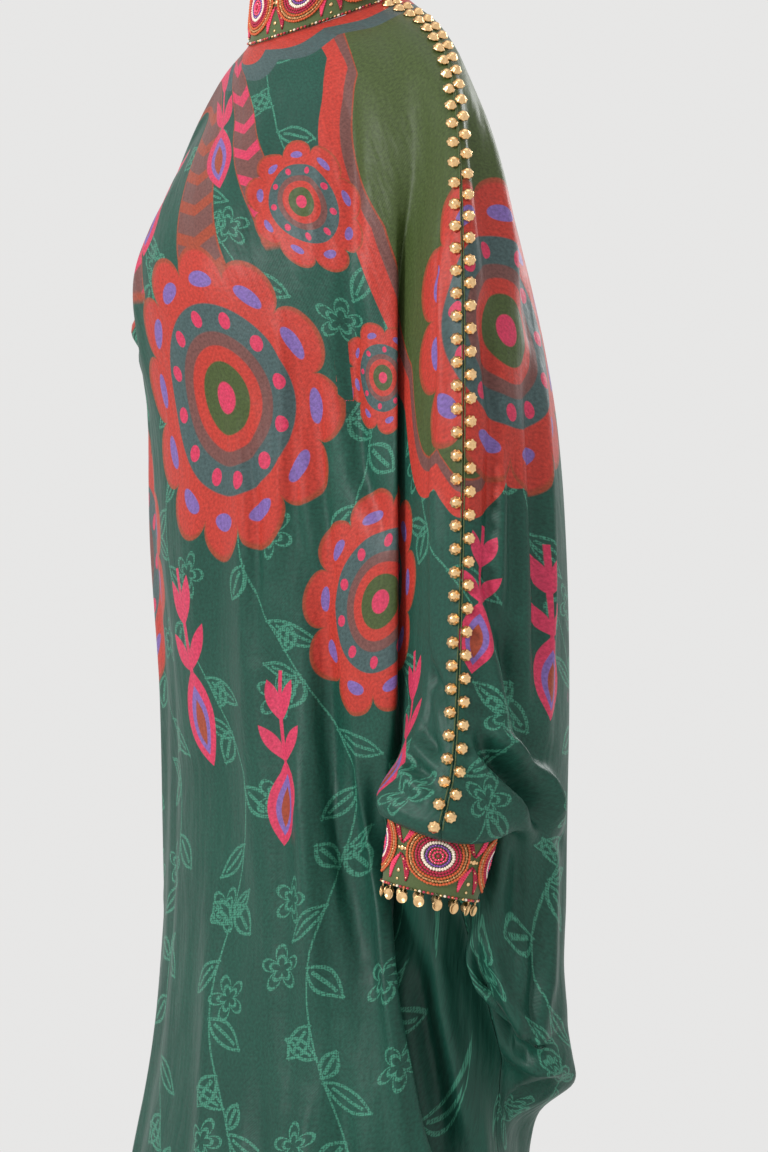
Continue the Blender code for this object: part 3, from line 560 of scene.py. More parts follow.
def level_row(name):
    """Row of the grid on which a level lies."""
    return sum(count for _, _, count in LEVELS[:LEVEL_NAMES.index(name)])


def station_column(name):
    """Column of the grid on which a station of the tube lies."""
    names = [station for station, _ in TUBE]
    return sum(count for _, count in TUBE[:names.index(name)])


def tube_grid():
    """The dress as one closed tube: rows of points from the right side seam around."""
    steps = [count for _, _, count in LEVELS]
    columns = {}
    for name, angle, height in NECKLINE_STATIONS:
        columns[name] = along(body_station(angle, on_body(angle, height)), steps)
    for name, angle, collar_angle in COLLAR_STATIONS:
        columns[name] = along(body_station(angle, collar_base(collar_angle)), steps)
    for name in PATHS:
        columns[name] = along(sleeve_station(name), steps)
    counts = [count for _, count in TUBE]
    grid = []
    for row in range(sum(steps) + 1):
        points = [columns[name][row] for name, _ in TUBE]
        padded = [points[-1], *points, points[0], points[1]]
        line = []
        for i, count in enumerate(counts):
            line += [spline(*padded[i:i + 4], k / count) for k in range(count)]
        grid.append(line)
    grid[0] = [on_collar(point) for point in grid[0]]
    lay_rim(grid)
    return grid


def lay_rim(grid):
    """Put the rim's rows around the cuff, evenly between the rim's stations."""
    first, seam, last = rim_columns()
    for level, (fore, middle, aft) in RIM_ROWS.items():
        row = grid[level_row(level)]
        for column in range(first, last + 1):
            if column <= seam:
                start, end, share = fore, middle, (column - first) / (seam - first)
            else:
                start, end, share = middle, aft, (column - seam) / (last - seam)
            turn, drop, away = (a + (b - a) * share for a, b in zip(start, end))
            row[column] = cuff_point(math.radians(turn), drop, away)


def rim_columns():
    """First column of the cuff's rim, the seam's column and the rim's last column."""
    return [station_column(name) for name in RIM_STATIONS]


def is_open(row, column):
    """Whether the quad after this row and column is the opening inside the cuff's rim."""
    first, _, last = rim_columns()
    return row == level_row("RIM_OUTER") and first <= column < last


def bump(distance, half_width):
    """Round hump of height 1 at distance 0."""
    t = distance / half_width
    return math.exp(-t * t)


def reached(facing, place, reach):
    """Share from 0 to 1 that folds have where the cloth faces so and lies so far across."""
    least_facing, facing_span, furthest, span = reach
    return ease((facing - least_facing) / facing_span) * ease((furthest - place) / span)


def fold_offset(point, normal):
    """Signed depth of the soft folds at a point of the body."""
    aft, out = point.dot(AFT), point.dot(OUT)
    total = 0.0
    side = reached(normal.dot(OUT), out, SIDE_REACH)
    rear = reached(normal.y, point.x, REAR_REACH)
    for folds, across, weight in ((SIDE_FOLDS, aft, side), (REAR_FOLDS, point.x, rear)):
        for top_a, top_z, foot_a, foot_z, half_width, depth in folds:
            t = (top_z - point.z) / (top_z - foot_z)
            middle = top_a + (foot_a - top_a) * t
            fade = ease((t + FOLD_PAST) / FOLD_FADE) * ease((1 + FOLD_PAST - t) / FOLD_FADE)
            total += weight * fade * depth * bump(across - middle, half_width)
    return total


def flute_offset(point):
    """Signed depth of the skirt's flutes at a point."""
    angle = math.degrees(math.atan2(point.y, point.x)) % 360
    total = 0.0
    for middle, half_width, depth, start in FLUTES:
        if point.z > start:
            continue
        growth = (start - point.z) / (start - LEVEL_HEIGHT["HEM"])
        gap = (angle - middle + 180) % 360 - 180
        total += depth * growth ** FLUTE_GROWTH * bump(gap, half_width * FLUTE_WIDTH)
    return total


def grid_normals(grid):
    """Outward normals of the tube's points, from the quads around each."""
    rows, columns = len(grid), len(grid[0])
    normals = [[Vector() for _ in range(columns)] for _ in range(rows)]
    for j in range(rows - 1):
        for i in range(columns):
            if is_open(j, i):
                continue
            k = (i + 1) % columns
            a, b, c, d = grid[j][i], grid[j + 1][i], grid[j + 1][k], grid[j][k]
            normal = (c - a).cross(d - b).normalized()
            for row, column in ((j, i), (j + 1, i), (j + 1, k), (j, k)):
                normals[row][column] += normal
    return [[normal.normalized() for normal in line] for line in normals]


def shaped(grid):
    """The grid with its folds and flutes pressed in."""
    normals = grid_normals(grid)
    return [[p + n * (fold_offset(p, n) + flute_offset(p)) for p, n in zip(row, line)]
            for row, line in zip(grid, normals)]


def rosette_raise(distance):
    """Height of a raised rosette at a distance from its middle."""
    return ROSETTE_RAISE * ease((ROSETTE_RADIUS - distance) / (ROSETTE_RADIUS * ROSETTE_EDGE))


def resample(points, pitch, start):
    """Places at an even pitch along a line: the point before each and the share to the next."""
    places = []
    lengths = [0.0]
    for a, b in zip(points, points[1:]):
        lengths.append(lengths[-1] + (b - a).length)
    wanted = start
    while wanted < lengths[-1]:
        i = max(n for n, length in enumerate(lengths[:-1]) if length <= wanted)
        places.append((i, (wanted - lengths[i]) / (lengths[i + 1] - lengths[i])))
        wanted += pitch
    return places


# Fine cloth grid: parts to a coarse column, spacing of its rows above and below the knee level,
# and the shell's thickness
COLUMN_PARTS = 6
ROW_SPACING = 0.0050
SKIRT_ROW_SPACING = 0.0090
SHELL = 0.0010


def array_of(grid):
    """Grid of vectors as an array of rows, columns and coordinates."""
    return np.array([[tuple(point) for point in row] for row in grid])


def smooth_parts(p0, p1, p2, p3, count):
    """Points of a centripetal spline from p1 towards p2, for arrays of points."""
    k0, k1, k2 = (np.sqrt(np.maximum(np.linalg.norm(b - a, axis=-1, keepdims=True), 1e-6))
                  for a, b in ((p0, p1), (p1, p2), (p2, p3)))
    m1 = (p2 - p1) + k1 * ((p1 - p0) / k0 - (p2 - p0) / (k0 + k1))
    m2 = (p2 - p1) + k1 * ((p3 - p2) / k2 - (p3 - p1) / (k1 + k2))
    a = 2 * (p1 - p2) + m1 + m2
    b = -3 * (p1 - p2) - 2 * m1 - m2
    return [a * t ** 3 + b * t ** 2 + m1 * t + p1 for t in (k / count for k in range(count))]


def refine_rows(grid):
    """Finer rows, with the rim's edges kept apart, and the coarse row at which each lies."""
    rows, columns = grid.shape[:2]
    first, _, last = rim_columns()
    opening = np.zeros((columns, 1), bool)
    opening[first:last + 1] = True
    rim = level_row("RIM_OUTER")
    knee = level_row("KNEE")
    lines, places = [], []
    for j in range(rows - 1):
        p1, p2 = grid[j], grid[j + 1]
        p0 = grid[j - 1] if j else 2 * p1 - p2
        p3 = grid[j + 2] if j + 2 < rows else 2 * p2 - p1
        if j + 1 == rim:
            p3 = np.where(opening, 2 * p2 - p1, p3)
        if j - 1 == rim:
            p0 = np.where(opening, 2 * p1 - p2, p0)
        spacing = SKIRT_ROW_SPACING if j >= knee else ROW_SPACING
        length = np.linalg.norm(p2 - p1, axis=-1).mean()
        count = max(2, round(length / spacing))
        lines += smooth_parts(p0, p1, p2, p3, count)
        places += [j + k / count for k in range(count)]
    lines.append(grid[-1])
    places.append(rows - 1)
    return np.array(lines), np.array(places)


def refine_columns(grid):
    """Finer columns of a tube that closes on itself."""
    columns = grid.shape[1]
    lines = []
    for i in range(columns):
        corners = [grid[:, (i + k) % columns] for k in (-1, 0, 1, 2)]
        lines += smooth_parts(*corners, COLUMN_PARTS)
    return np.stack(lines, axis=1)


class Cloth:
    """The fine tube: points, normals, coarse places and cloth coordinates."""

    def __init__(self):
        coarse = array_of(shaped(tube_grid()))
        rows, self.level = refine_rows(coarse)
        self.points = refine_columns(rows)
        self.columns = self.points.shape[1]
        self.station = np.arange(self.columns) / COLUMN_PARTS
        first, self.seam, last = (column * COLUMN_PARTS for column in rim_columns())
        rim = (self.level >= level_row("RIM_OUTER")) & (self.level < level_row("RIM_INNER"))
        self.closed = np.ones(self.points.shape[:2], bool)
        self.closed[np.ix_(rim, np.arange(first, last))] = False
        self.closed[-1] = False
        self.measure()

    def measure(self):
        """Distances around from the over-arm seam, as the cloth lies and level, and down it.

        Down starts at the level of the collar's base. The level distances of the front and the
        back are held at one station each below the arm, so that the print hangs straight there.
        """
        self.around = self.lengths(3)
        level = self.lengths(2)
        self.across = level.copy()
        held = np.minimum(np.arange(len(level)), int(np.searchsorted(self.level, level_row("BLOUSE"))))
        for name, part in (("LEFT_FRONT", slice(0, self.seam)), ("BACK", slice(self.seam, None))):
            anchor = level[:, station_column(name) * COLUMN_PARTS]
            self.across[:, part] += (anchor[held] - anchor)[:, None]
        drops = np.linalg.norm(np.diff(self.points, axis=0), axis=-1)
        self.down = np.concatenate([np.zeros((1, self.columns)), np.cumsum(drops, axis=0)])
        self.down -= self.points[:1, :, 2]

    def lengths(self, size):
        """Length around from the over-arm seam in the first coordinates, negative in front."""
        turned = np.roll(self.points[..., :size], -self.seam, axis=1)
        steps = np.linalg.norm(np.diff(turned, axis=1), axis=-1)
        around = np.concatenate([np.zeros((len(steps), 1)), np.cumsum(steps, axis=1)], axis=1)
        closing = np.linalg.norm(turned[:, 0] - turned[:, -1], axis=-1)
        around[:, self.columns - self.seam:] -= (around[:, -1] + closing)[:, None]
        return np.roll(around, self.seam, axis=1)

    def normals(self):
        """Outward normals from the quads around each point."""
        p = self.points
        across = np.roll(p, -1, axis=1)
        quad = np.zeros_like(p)
        quad[:-1] = np.cross(across[1:] - p[:-1], across[:-1] - p[1:])
        quad /= np.maximum(np.linalg.norm(quad, axis=-1, keepdims=True), 1e-12)
        quad *= self.closed[..., None]
        total = quad + np.roll(quad, 1, axis=1)
        total[1:] += total[:-1].copy()
        return total / np.maximum(np.linalg.norm(total, axis=-1, keepdims=True), 1e-12)


def line_distance(a, z, line):
    """Distance to a line of points, and the share of its length at the nearest place."""
    lengths = [math.dist(p, q) for p, q in zip(line, line[1:])]
    whole = sum(lengths)
    best = np.full(a.shape, np.inf)
    share = np.zeros(a.shape)
    run = 0.0
    for (a0, z0), (a1, z1), length in zip(line, line[1:], lengths):
        da, dz = (a1 - a0) / length, (z1 - z0) / length
        t = np.clip((a - a0) * da + (z - z0) * dz, 0.0, length)
        gap = np.hypot(a - a0 - da * t, z - z0 - dz * t)
        nearer = gap < best
        best = np.where(nearer, gap, best)
        share = np.where(nearer, (run + t) / whole, share)
        run += length
    return best, share


# A crease's profile: the width of its raised shoulders in its own half widths, and their dip
SHOULDER_WIDTH = 2.2
SHOULDER_DIP = 0.35
# A crease's fade at its ends: share of its length left out, power; and at its stations: coarse
# columns, share kept there
END_SHARE = 0.02
END_POWER = 0.6
STATION_FADE = 0.8
STATION_SHARE = 0.1


def press(cloth, creases, across, facing):
    """Depth of a table of creases at each point of the cloth that faces their way."""
    z = cloth.points[..., 2]
    depth = np.zeros(z.shape)
    for start, end, lines in creases:
        low, high = station_column(start), station_column(end)
        if high <= low:
            high += cloth.columns / COLUMN_PARTS
        place = (cloth.station - low) % (cloth.columns / COLUMN_PARTS)
        before, after = (np.clip(gap / STATION_FADE + STATION_SHARE, 0, 1)
                         for gap in (place, high - low - place))
        inside = np.where(place <= high - low, before * after, 0.0)
        for half_width, amount, line in lines:
            gap, share = line_distance(across, z, line)
            fade = np.sin(np.pi * np.clip(share, END_SHARE, 1 - END_SHARE)) ** END_POWER
            core = np.exp(-(gap / half_width) ** 2)
            shoulder = np.exp(-(gap / (SHOULDER_WIDTH * half_width)) ** 2)
            profile = (1 + SHOULDER_DIP) * core - SHOULDER_DIP * shoulder
            depth += amount * fade * inside[None, :] * profile
    return depth * facing


# Creases on the side that faces out: first and last station, then half width, depth (a trough
# is negative) and a line of points (aft, height) for each
SIDE_CREASES = (
    ("LEFT_FRONT", "PLEAT", (
        (0.008, -0.0060, ((0.021, -0.215), (0.022, -0.300), (0.030, -0.373), (0.050, -0.430))),
        (0.0045, -0.0028, ((-0.008, -0.290), (-0.002, -0.370), (0.009, -0.470))),
        (0.0050, 0.0026, ((-0.020, -0.330), (-0.013, -0.400), (-0.003, -0.465))),
        (0.008, 0.0045, ((-0.020, -0.600), (-0.012, -0.680), (-0.002, -0.800))),
    )),
    ("LEFT_FRONT", "VALLEY", (
        (0.009, -0.0065, ((-0.003, -0.450), (0.004, -0.560), (0.010, -0.640), (0.032, -0.760))),
        (0.006, 0.0060, ((0.024, -0.540), (0.034, -0.640), (0.046, -0.715), (0.054, -0.800),
                         (0.066, -0.920))),
        (0.010, -0.0065, ((0.010, -0.800), (0.020, -0.930), (0.028, -1.100), (0.036, -1.320))),
        (0.009, 0.0055, ((-0.014, -0.860), (-0.008, -1.000), (-0.002, -1.160))),
    )),
    ("NECK_FRONT", "PLEAT", (
        (0.009, -0.0030, ((-0.030, -0.060), (-0.040, -0.130), (-0.060, -0.200))),
        (0.006, -0.0045, ((-0.062, -0.330), (-0.054, -0.400), (-0.052, -0.520))),
        (0.006, 0.0040, ((-0.034, -0.250), (-0.030, -0.340), (-0.036, -0.450))),
        (0.010, 0.0030, ((0.000, -0.070), (-0.004, -0.150), (-0.010, -0.230))),
        (0.007, -0.0035, ((0.020, -0.070), (0.024, -0.150), (0.022, -0.230))),
        (0.014, -0.0040, ((-0.090, -0.260), (-0.084, -0.380), (-0.092, -0.560))),
        (0.012, 0.0035, ((-0.060, -0.420), (-0.058, -0.560), (-0.050, -0.720))),
        (0.010, -0.0040, ((-0.040, -0.500), (-0.034, -0.620), (-0.026, -0.860))),
        (0.012, -0.0060, ((-0.050, -0.800), (-0.052, -0.960), (-0.060, -1.200))),
        (0.010, 0.0050, ((-0.086, -0.700), (-0.092, -0.880), (-0.104, -1.080))),
    )),
    ("FORE", "SEAM", (
        (0.006, 0.0035, ((0.064, -0.060), (0.068, -0.120), (0.071, -0.180), (0.069, -0.260))),
        (0.007, -0.0045, ((0.077, -0.070), (0.081, -0.140), (0.084, -0.210), (0.082, -0.290))),
        (0.005, -0.0030, ((0.072, -0.300), (0.076, -0.380), (0.070, -0.460))),
        (0.006, 0.0030, ((0.086, -0.340), (0.088, -0.430), (0.083, -0.520))),
        (0.006, -0.0035, ((0.074, -0.470), (0.080, -0.550), (0.088, -0.600))),
        (0.005, 0.0030, ((0.064, -0.530), (0.068, -0.580), (0.076, -0.622))),
        (0.004, -0.0030, ((0.052, -0.606), (0.062, -0.620), (0.074, -0.634), (0.086, -0.638))),
        (0.004, 0.0030, ((0.050, -0.596), (0.064, -0.606), (0.080, -0.616), (0.094, -0.630))),
        (0.007, -0.0060, ((0.060, -0.230), (0.064, -0.330), (0.060, -0.430))),
        (0.006, 0.0050, ((0.092, -0.200), (0.096, -0.290), (0.093, -0.380))),
        (0.006, -0.0050, ((0.066, -0.560), (0.084, -0.585), (0.104, -0.600), (0.122, -0.622))),
        (0.006, -0.0090, ((0.054, -0.574), (0.072, -0.600), (0.092, -0.616), (0.110, -0.618))),
        (0.005, 0.0070, ((0.052, -0.588), (0.070, -0.614), (0.090, -0.630), (0.106, -0.634))),
        (0.005, -0.0065, ((0.080, -0.520), (0.096, -0.556), (0.106, -0.590), (0.108, -0.620))),
    )),
    ("SEAM", "TRAIL", (
        (0.006, -0.0055, ((0.122, -0.240), (0.132, -0.340), (0.128, -0.430))),
        (0.007, 0.0050, ((0.106, -0.045), (0.120, -0.090), (0.140, -0.160), (0.153, -0.240))),
        (0.008, -0.0050, ((0.108, -0.060), (0.118, -0.130), (0.130, -0.210), (0.136, -0.290))),
        (0.006, 0.0035, ((0.130, -0.320), (0.136, -0.400), (0.134, -0.500))),
        (0.007, -0.0040, ((0.144, -0.350), (0.148, -0.450), (0.144, -0.560))),
        (0.006, -0.0045, ((0.116, -0.560), (0.134, -0.595), (0.156, -0.620), (0.172, -0.655))),
        (0.006, 0.0045, ((0.112, -0.590), (0.130, -0.612), (0.150, -0.628), (0.164, -0.648))),
        (0.005, -0.0040, ((0.108, -0.614), (0.122, -0.628), (0.138, -0.640))),
        (0.005, 0.0040, ((0.098, -0.545), (0.110, -0.580), (0.120, -0.606), (0.126, -0.632))),
    )),
    ("SEAM", "TAIL", (
        (0.006, -0.0045, ((0.134, -0.110), (0.152, -0.190), (0.164, -0.290))),
        (0.007, 0.0050, ((0.139, -0.650), (0.137, -0.690), (0.134, -0.720))),
        (0.007, -0.0095, ((0.116, -0.584), (0.138, -0.600), (0.160, -0.624), (0.178, -0.660))),
        (0.006, 0.0080, ((0.118, -0.568), (0.144, -0.584), (0.168, -0.610), (0.184, -0.650))),
        (0.009, -0.0060, ((0.118, -0.440), (0.142, -0.520), (0.158, -0.590), (0.166, -0.640))),
        (0.008, 0.0050, ((0.100, -0.400), (0.124, -0.500), (0.148, -0.590))),
    )),
    ("AFT_ARM", "TAIL", (
        (0.005, -0.0045, ((0.157, -0.290), (0.163, -0.380), (0.166, -0.470), (0.164, -0.560))),
        (0.005, 0.0045, ((0.168, -0.270), (0.172, -0.370), (0.174, -0.470), (0.172, -0.580))),
        (0.008, -0.0050, ((0.150, -0.660), (0.152, -0.710), (0.148, -0.760))),
    )),
    ("AFT_ARM", "REAR", (
        (0.007, 0.0050, ((0.172, -0.600), (0.176, -0.680), (0.174, -0.770), (0.164, -0.820))),
        (0.006, -0.0045, ((0.160, -0.700), (0.166, -0.760), (0.160, -0.820), (0.146, -0.850))),
        (0.010, -0.0090, ((0.112, -0.735), (0.126, -0.785), (0.146, -0.820), (0.172, -0.836))),
        (0.007, 0.0070, ((0.124, -0.730), (0.142, -0.785), (0.162, -0.812), (0.186, -0.828))),
        (0.006, -0.0050, ((0.134, -0.880), (0.158, -0.862), (0.186, -0.850))),
    )),
    ("PLEAT", "AFT_ARM", (
        (0.007, 0.0055, ((0.088, -0.745), (0.094, -0.790), (0.104, -0.840), (0.116, -0.900))),
    )),
    ("VALLEY", "WING", (
        (0.008, -0.0060, ((0.072, -0.750), (0.080, -0.810), (0.096, -0.900))),
    )),
    ("PLEAT", "WING", (
        (0.007, 0.0060, ((0.060, -0.900), (0.070, -1.020), (0.082, -1.160), (0.092, -1.300))),
        (0.008, -0.0065, ((0.046, -0.860), (0.056, -1.000), (0.066, -1.150), (0.076, -1.300))),
    )),
)
# The same on the front and the rear: lines of points (x, height)
FRONT_CREASES = (
    ("RIGHT", "LEFT_FRONT", (
        (0.010, -0.0050, ((-0.060, -0.150), (-0.070, -0.260), (-0.074, -0.420))),
        (0.012, 0.0045, ((-0.030, -0.130), (-0.036, -0.240), (-0.034, -0.340))),
        (0.009, -0.0045, ((0.010, -0.090), (0.004, -0.190), (-0.002, -0.330), (0.004, -0.480))),
        (0.012, 0.0050, ((-0.100, -0.330), (-0.104, -0.500), (-0.112, -0.720))),
        (0.011, -0.0055, ((-0.050, -0.450), (-0.052, -0.620), (-0.060, -0.860))),
        (0.010, 0.0045, ((0.000, -0.560), (0.006, -0.740), (0.016, -0.960))),
        (0.008, -0.0040, ((0.050, -0.380), (0.052, -0.520), (0.048, -0.660))),
        (0.007, 0.0035, ((-0.120, -0.230), (-0.090, -0.250), (-0.050, -0.290))),
        (0.010, -0.0065, ((-0.020, -0.820), (-0.026, -1.000), (-0.030, -1.300))),
        (0.009, 0.0055, ((-0.080, -0.780), (-0.090, -0.960), (-0.100, -1.240))),
        (0.008, -0.0050, ((0.040, -0.900), (0.052, -1.060), (0.060, -1.280))),
    )),
)
REAR_CREASES = (
    ("TAIL", "RIGHT", (
        (0.010, -0.0055, ((0.060, -0.110), (0.058, -0.230), (0.050, -0.420))),
        (0.012, 0.0050, ((0.020, -0.090), (0.014, -0.220), (0.010, -0.360))),
        (0.010, -0.0050, ((-0.030, -0.120), (-0.040, -0.260), (-0.038, -0.470))),
        (0.013, 0.0050, ((-0.080, -0.240), (-0.084, -0.420), (-0.096, -0.640))),
        (0.010, -0.0060, ((0.100, -0.300), (0.104, -0.470), (0.096, -0.680))),
        (0.012, 0.0055, ((0.060, -0.480), (0.054, -0.650), (0.046, -0.900))),
        (0.010, -0.0050, ((-0.010, -0.560), (-0.012, -0.740), (-0.020, -0.980))),
        (0.009, 0.0045, ((-0.110, -0.560), (-0.118, -0.720), (-0.130, -0.900))),
        (0.009, -0.0065, ((0.030, -0.820), (0.024, -1.000), (0.016, -1.280))),
        (0.009, 0.0055, ((0.084, -0.760), (0.086, -0.940), (0.094, -1.200))),
        (0.010, -0.0060, ((-0.070, -0.760), (-0.080, -0.960), (-0.090, -1.300))),
    )),
    ("WING", "BACK", (
        (0.009, -0.0060, ((0.150, -0.140), (0.158, -0.280), (0.160, -0.460), (0.150, -0.640))),
        (0.010, 0.0060, ((0.176, -0.260), (0.184, -0.420), (0.180, -0.600), (0.166, -0.760))),
    )),
)

# Gain of all creases, and how far they stay clear of the seam, the cuff's rim and the collar
CREASE_GAIN = 1.5
SEAM_CLEAR = 0.013
RIM_CLEAR = 0.016
COLLAR_CLEAR = 0.03
SEAM_START = 0.5
# How the facing of the cloth becomes its share of each side's creases
FACING_GAIN = 2.0
SIDE_SHIFT = 0.1
FRONT_SHIFT = 0.3


def creased():
    """The cloth with its creases, calm at the seam, the collar and the cuff's rim."""
    cloth = Cloth()
    normals = cloth.normals()
    p = cloth.points
    side = np.clip(normals @ np.array(OUT) * FACING_GAIN + SIDE_SHIFT, 0, 1)
    front = np.clip(-normals[..., 1] * FACING_GAIN - FRONT_SHIFT, 0, 1) * (1 - side)
    rear = np.clip(normals[..., 1] * FACING_GAIN - FRONT_SHIFT, 0, 1) * (1 - side)
    depth = press(cloth, SIDE_CREASES, p @ np.array(AFT), side)
    depth += press(cloth, FRONT_CREASES, p[..., 0], front)
    depth += press(cloth, REAR_CREASES, p[..., 0], rear)
    calm = np.clip(np.abs(cloth.around) / SEAM_CLEAR - SEAM_START, 0, 1)
    calm = np.where(p[..., 2] < LEVEL_HEIGHT["FALL"], 1.0, calm)
    calm *= np.clip(cloth.down / COLLAR_CLEAR, 0, 1)
    top = cuff_axis()[0]
    reach = np.linalg.norm(p - np.array(top), axis=-1) - CUFF_HALF_WIDTH
    calm *= np.clip(reach / RIM_CLEAR, 0.0, 1)
    cloth.points = p + normals * (depth * calm * CREASE_GAIN)[..., None]
    cloth.facing = cloth.normals()
    cloth.drop = cloth.down + cloth.points[:1, :, 2]
    return cloth


# The print: a generic floral placed by distance around from the over-arm seam and down from the
# collar's base. Round flowers: around, down, radius, petals, turn
FLOWERS = (
    (-0.268, 0.350, 0.103, 12, 10.0),
    (-0.412, 0.200, 0.064, 10, 0.0),
    (-0.142, 0.205, 0.048, 9, 0.0),
    (-0.474, 0.456, 0.092, 11, 24.0),
    (-0.130, 0.524, 0.072, 10, 5.0),
    (-0.128, 0.352, 0.036, 8, 0.0),
    (-0.605, 0.275, 0.078, 12, 0.0),
    (-0.672, 0.495, 0.078, 11, 12.0),
    (-0.760, 0.290, 0.056, 10, 0.0),
    (0.044, 0.360, 0.100, 11, 8.0),
    (0.188, 0.235, 0.064, 10, 0.0),
    (0.222, 0.445, 0.080, 10, 18.0),
    (0.345, 0.290, 0.084, 12, 6.0),
    (0.410, 0.500, 0.084, 11, 0.0),
    (0.516, 0.245, 0.068, 10, 15.0),
    (0.590, 0.430, 0.090, 12, 0.0),
    (0.768, 0.485, 0.070, 10, 9.0),
)
# Buds: around, down, length, turn
BUDS = (
    (-0.322, 0.150, 0.090, 8.0),
    (-0.220, 0.105, 0.085, -6.0),
    (-0.330, 0.560, 0.095, -10.0),
    (-0.228, 0.640, 0.080, 6.0),
    (-0.060, 0.660, 0.080, 0.0),
    (-0.480, 0.160, 0.080, 10.0),
    (-0.610, 0.150, 0.070, -8.0),
    (-0.505, 0.610, 0.090, 0.0),
    (-0.600, 0.620, 0.080, 4.0),
    (0.014, 0.575, 0.066, 4.0),
    (0.086, 0.585, 0.078, -4.0),
    (0.166, 0.580, 0.072, 6.0),
    (0.285, 0.610, 0.085, 0.0),
    (0.120, 0.125, 0.080, -4.0),
    (0.420, 0.150, 0.080, 0.0),
    (0.500, 0.600, 0.090, 6.0),
    (0.600, 0.200, 0.080, 0.0),
    (0.675, 0.610, 0.085, 0.0),
)
# Ribbons: around at the top and at the foot, down at both, half width, sway, tone of the chevrons
RIBBONS = (
    (-0.262, -0.236, 0.030, 0.300, 0.026, 0.010, 0.0),
    (-0.184, -0.176, 0.020, 0.240, 0.017, -0.006, 1.0),
    (-0.345, -0.345, 0.040, 0.260, 0.018, 0.008, 1.0),
    (-0.430, -0.440, 0.060, 0.230, 0.018, -0.008, 0.0),
    (-0.600, -0.590, 0.150, 0.420, 0.020, 0.010, 1.0),
    (0.115, 0.130, 0.020, 0.200, 0.014, 0.006, 0.0),
    (0.245, 0.245, 0.030, 0.280, 0.018, -0.010, 1.0),
    (0.345, 0.355, 0.060, 0.260, 0.018, 0.010, 0.0),
    (0.500, 0.510, 0.100, 0.230, 0.020, 0.008, 1.0),
    (0.640, 0.640, 0.150, 0.400, 0.018, -0.008, 0.0),
)
# Broad grounds: around, down, half width, half length
GROUNDS = (
    (0.005, 0.235, 0.088, 0.225),
    (0.225, 0.130, 0.060, 0.120),
    (-0.455, 0.130, 0.050, 0.090),
    (0.450, 0.120, 0.060, 0.090),
)
GROUND_WAVES = 10
GROUND_WAVE = 0.10
FLOWER_STRETCH = 1.25
BUD_NARROW = 2.2
# A point near the edges of two motifs, and nearly as far from both, counts as between them
FAR = 9.0
TIE = 0.05
EDGE_SHARE = 0.92
BETWEEN = 2.0


def nearest_motif(table, s, t, local):
    """Coordinates of each point in its nearest motif, with its distance in motif sizes."""
    best = np.full(s.shape, FAR)
    second = np.full(s.shape, FAR)
    chosen = np.zeros((*s.shape, 3))
    for row in table:
        x, y, z, distance = local(s, t, *row)
        nearer = distance < best
        second = np.where(nearer, best, np.minimum(second, distance))
        best = np.where(nearer, distance, best)
        place = np.stack([x, y, np.full(s.shape, z)], axis=-1)
        chosen = np.where(nearer[..., None], place, chosen)
    tied = (second - best < TIE) & (best > EDGE_SHARE)
    return chosen, np.where(tied, BETWEEN, best)


def in_flower(s, t, centre_s, centre_t, radius, petals, turn):
    """A point's place in an oval flower, in radii."""
    c, n = math.cos(math.radians(turn)), math.sin(math.radians(turn))
    ds, dt = (s - centre_s) / radius, (t - centre_t) / (radius * FLOWER_STRETCH)
    return ds * c + dt * n, dt * c - ds * n, petals, np.hypot(ds, dt)


def in_bud(s, t, centre_s, centre_t, length, turn):
    """A point's place in a bud, in lengths, upright at y up."""
    c, n = math.cos(math.radians(turn)), math.sin(math.radians(turn))
    ds, dt = (s - centre_s) / length, (t - centre_t) / length
    x, y = ds * c + dt * n, dt * c - ds * n
    return x, y, length, np.maximum(np.abs(x) * BUD_NARROW, np.abs(y))


def in_ribbon(s, t, top_s, foot_s, top_t, foot_t, half_width, sway, tone):
    """A point's place across a ribbon, in half widths, and along it, in metres, with its tone."""
    share = (t - top_t) / (foot_t - top_t)
    middle = top_s + (foot_s - top_s) * share + sway * np.sin(share * 5.0)
    across = (s - middle) / (half_width * (0.75 + 0.25 * np.clip(share, 0, 1)))
    ends = np.abs(share - 0.5) * 2
    distance = np.maximum(np.abs(across), ends)
    return across, t - top_t, tone, distance


def ground_field(s, t):
    """Distance past the nearest broad ground's wavy edge."""
    rim = np.full(s.shape, 1.0)
    for centre_s, centre_t, half_width, half_length in GROUNDS:
        x, y = (s - centre_s) / half_width, (t - centre_t) / half_length
        reach = np.hypot(s - centre_s, t - centre_t) / np.maximum(np.hypot(x, y), 1e-3)
        wave = 1 + GROUND_WAVE * np.abs(np.sin(np.arctan2(y, x) * GROUND_WAVES / 2))
        rim = np.minimum(rim, (np.hypot(x, y) - wave) * reach)
    return rim


def print_fields(s, t, edge):
    """Named fields of the print at each point of a panel."""
    flower, flower_far = nearest_motif(FLOWERS, s, t, in_flower)
    bud, bud_far = nearest_motif(BUDS, s, t, in_bud)
    ribbon, ribbon_far = nearest_motif(RIBBONS, s, t, in_ribbon)
    return {
        "print_flower": flower,
        "print_bud": bud,
        "print_ribbon": ribbon,
        "print_far": np.stack([flower_far, bud_far, ribbon_far], axis=-1),
        "print_ground": np.stack([ground_field(s, t), edge, s], axis=-1),
    }
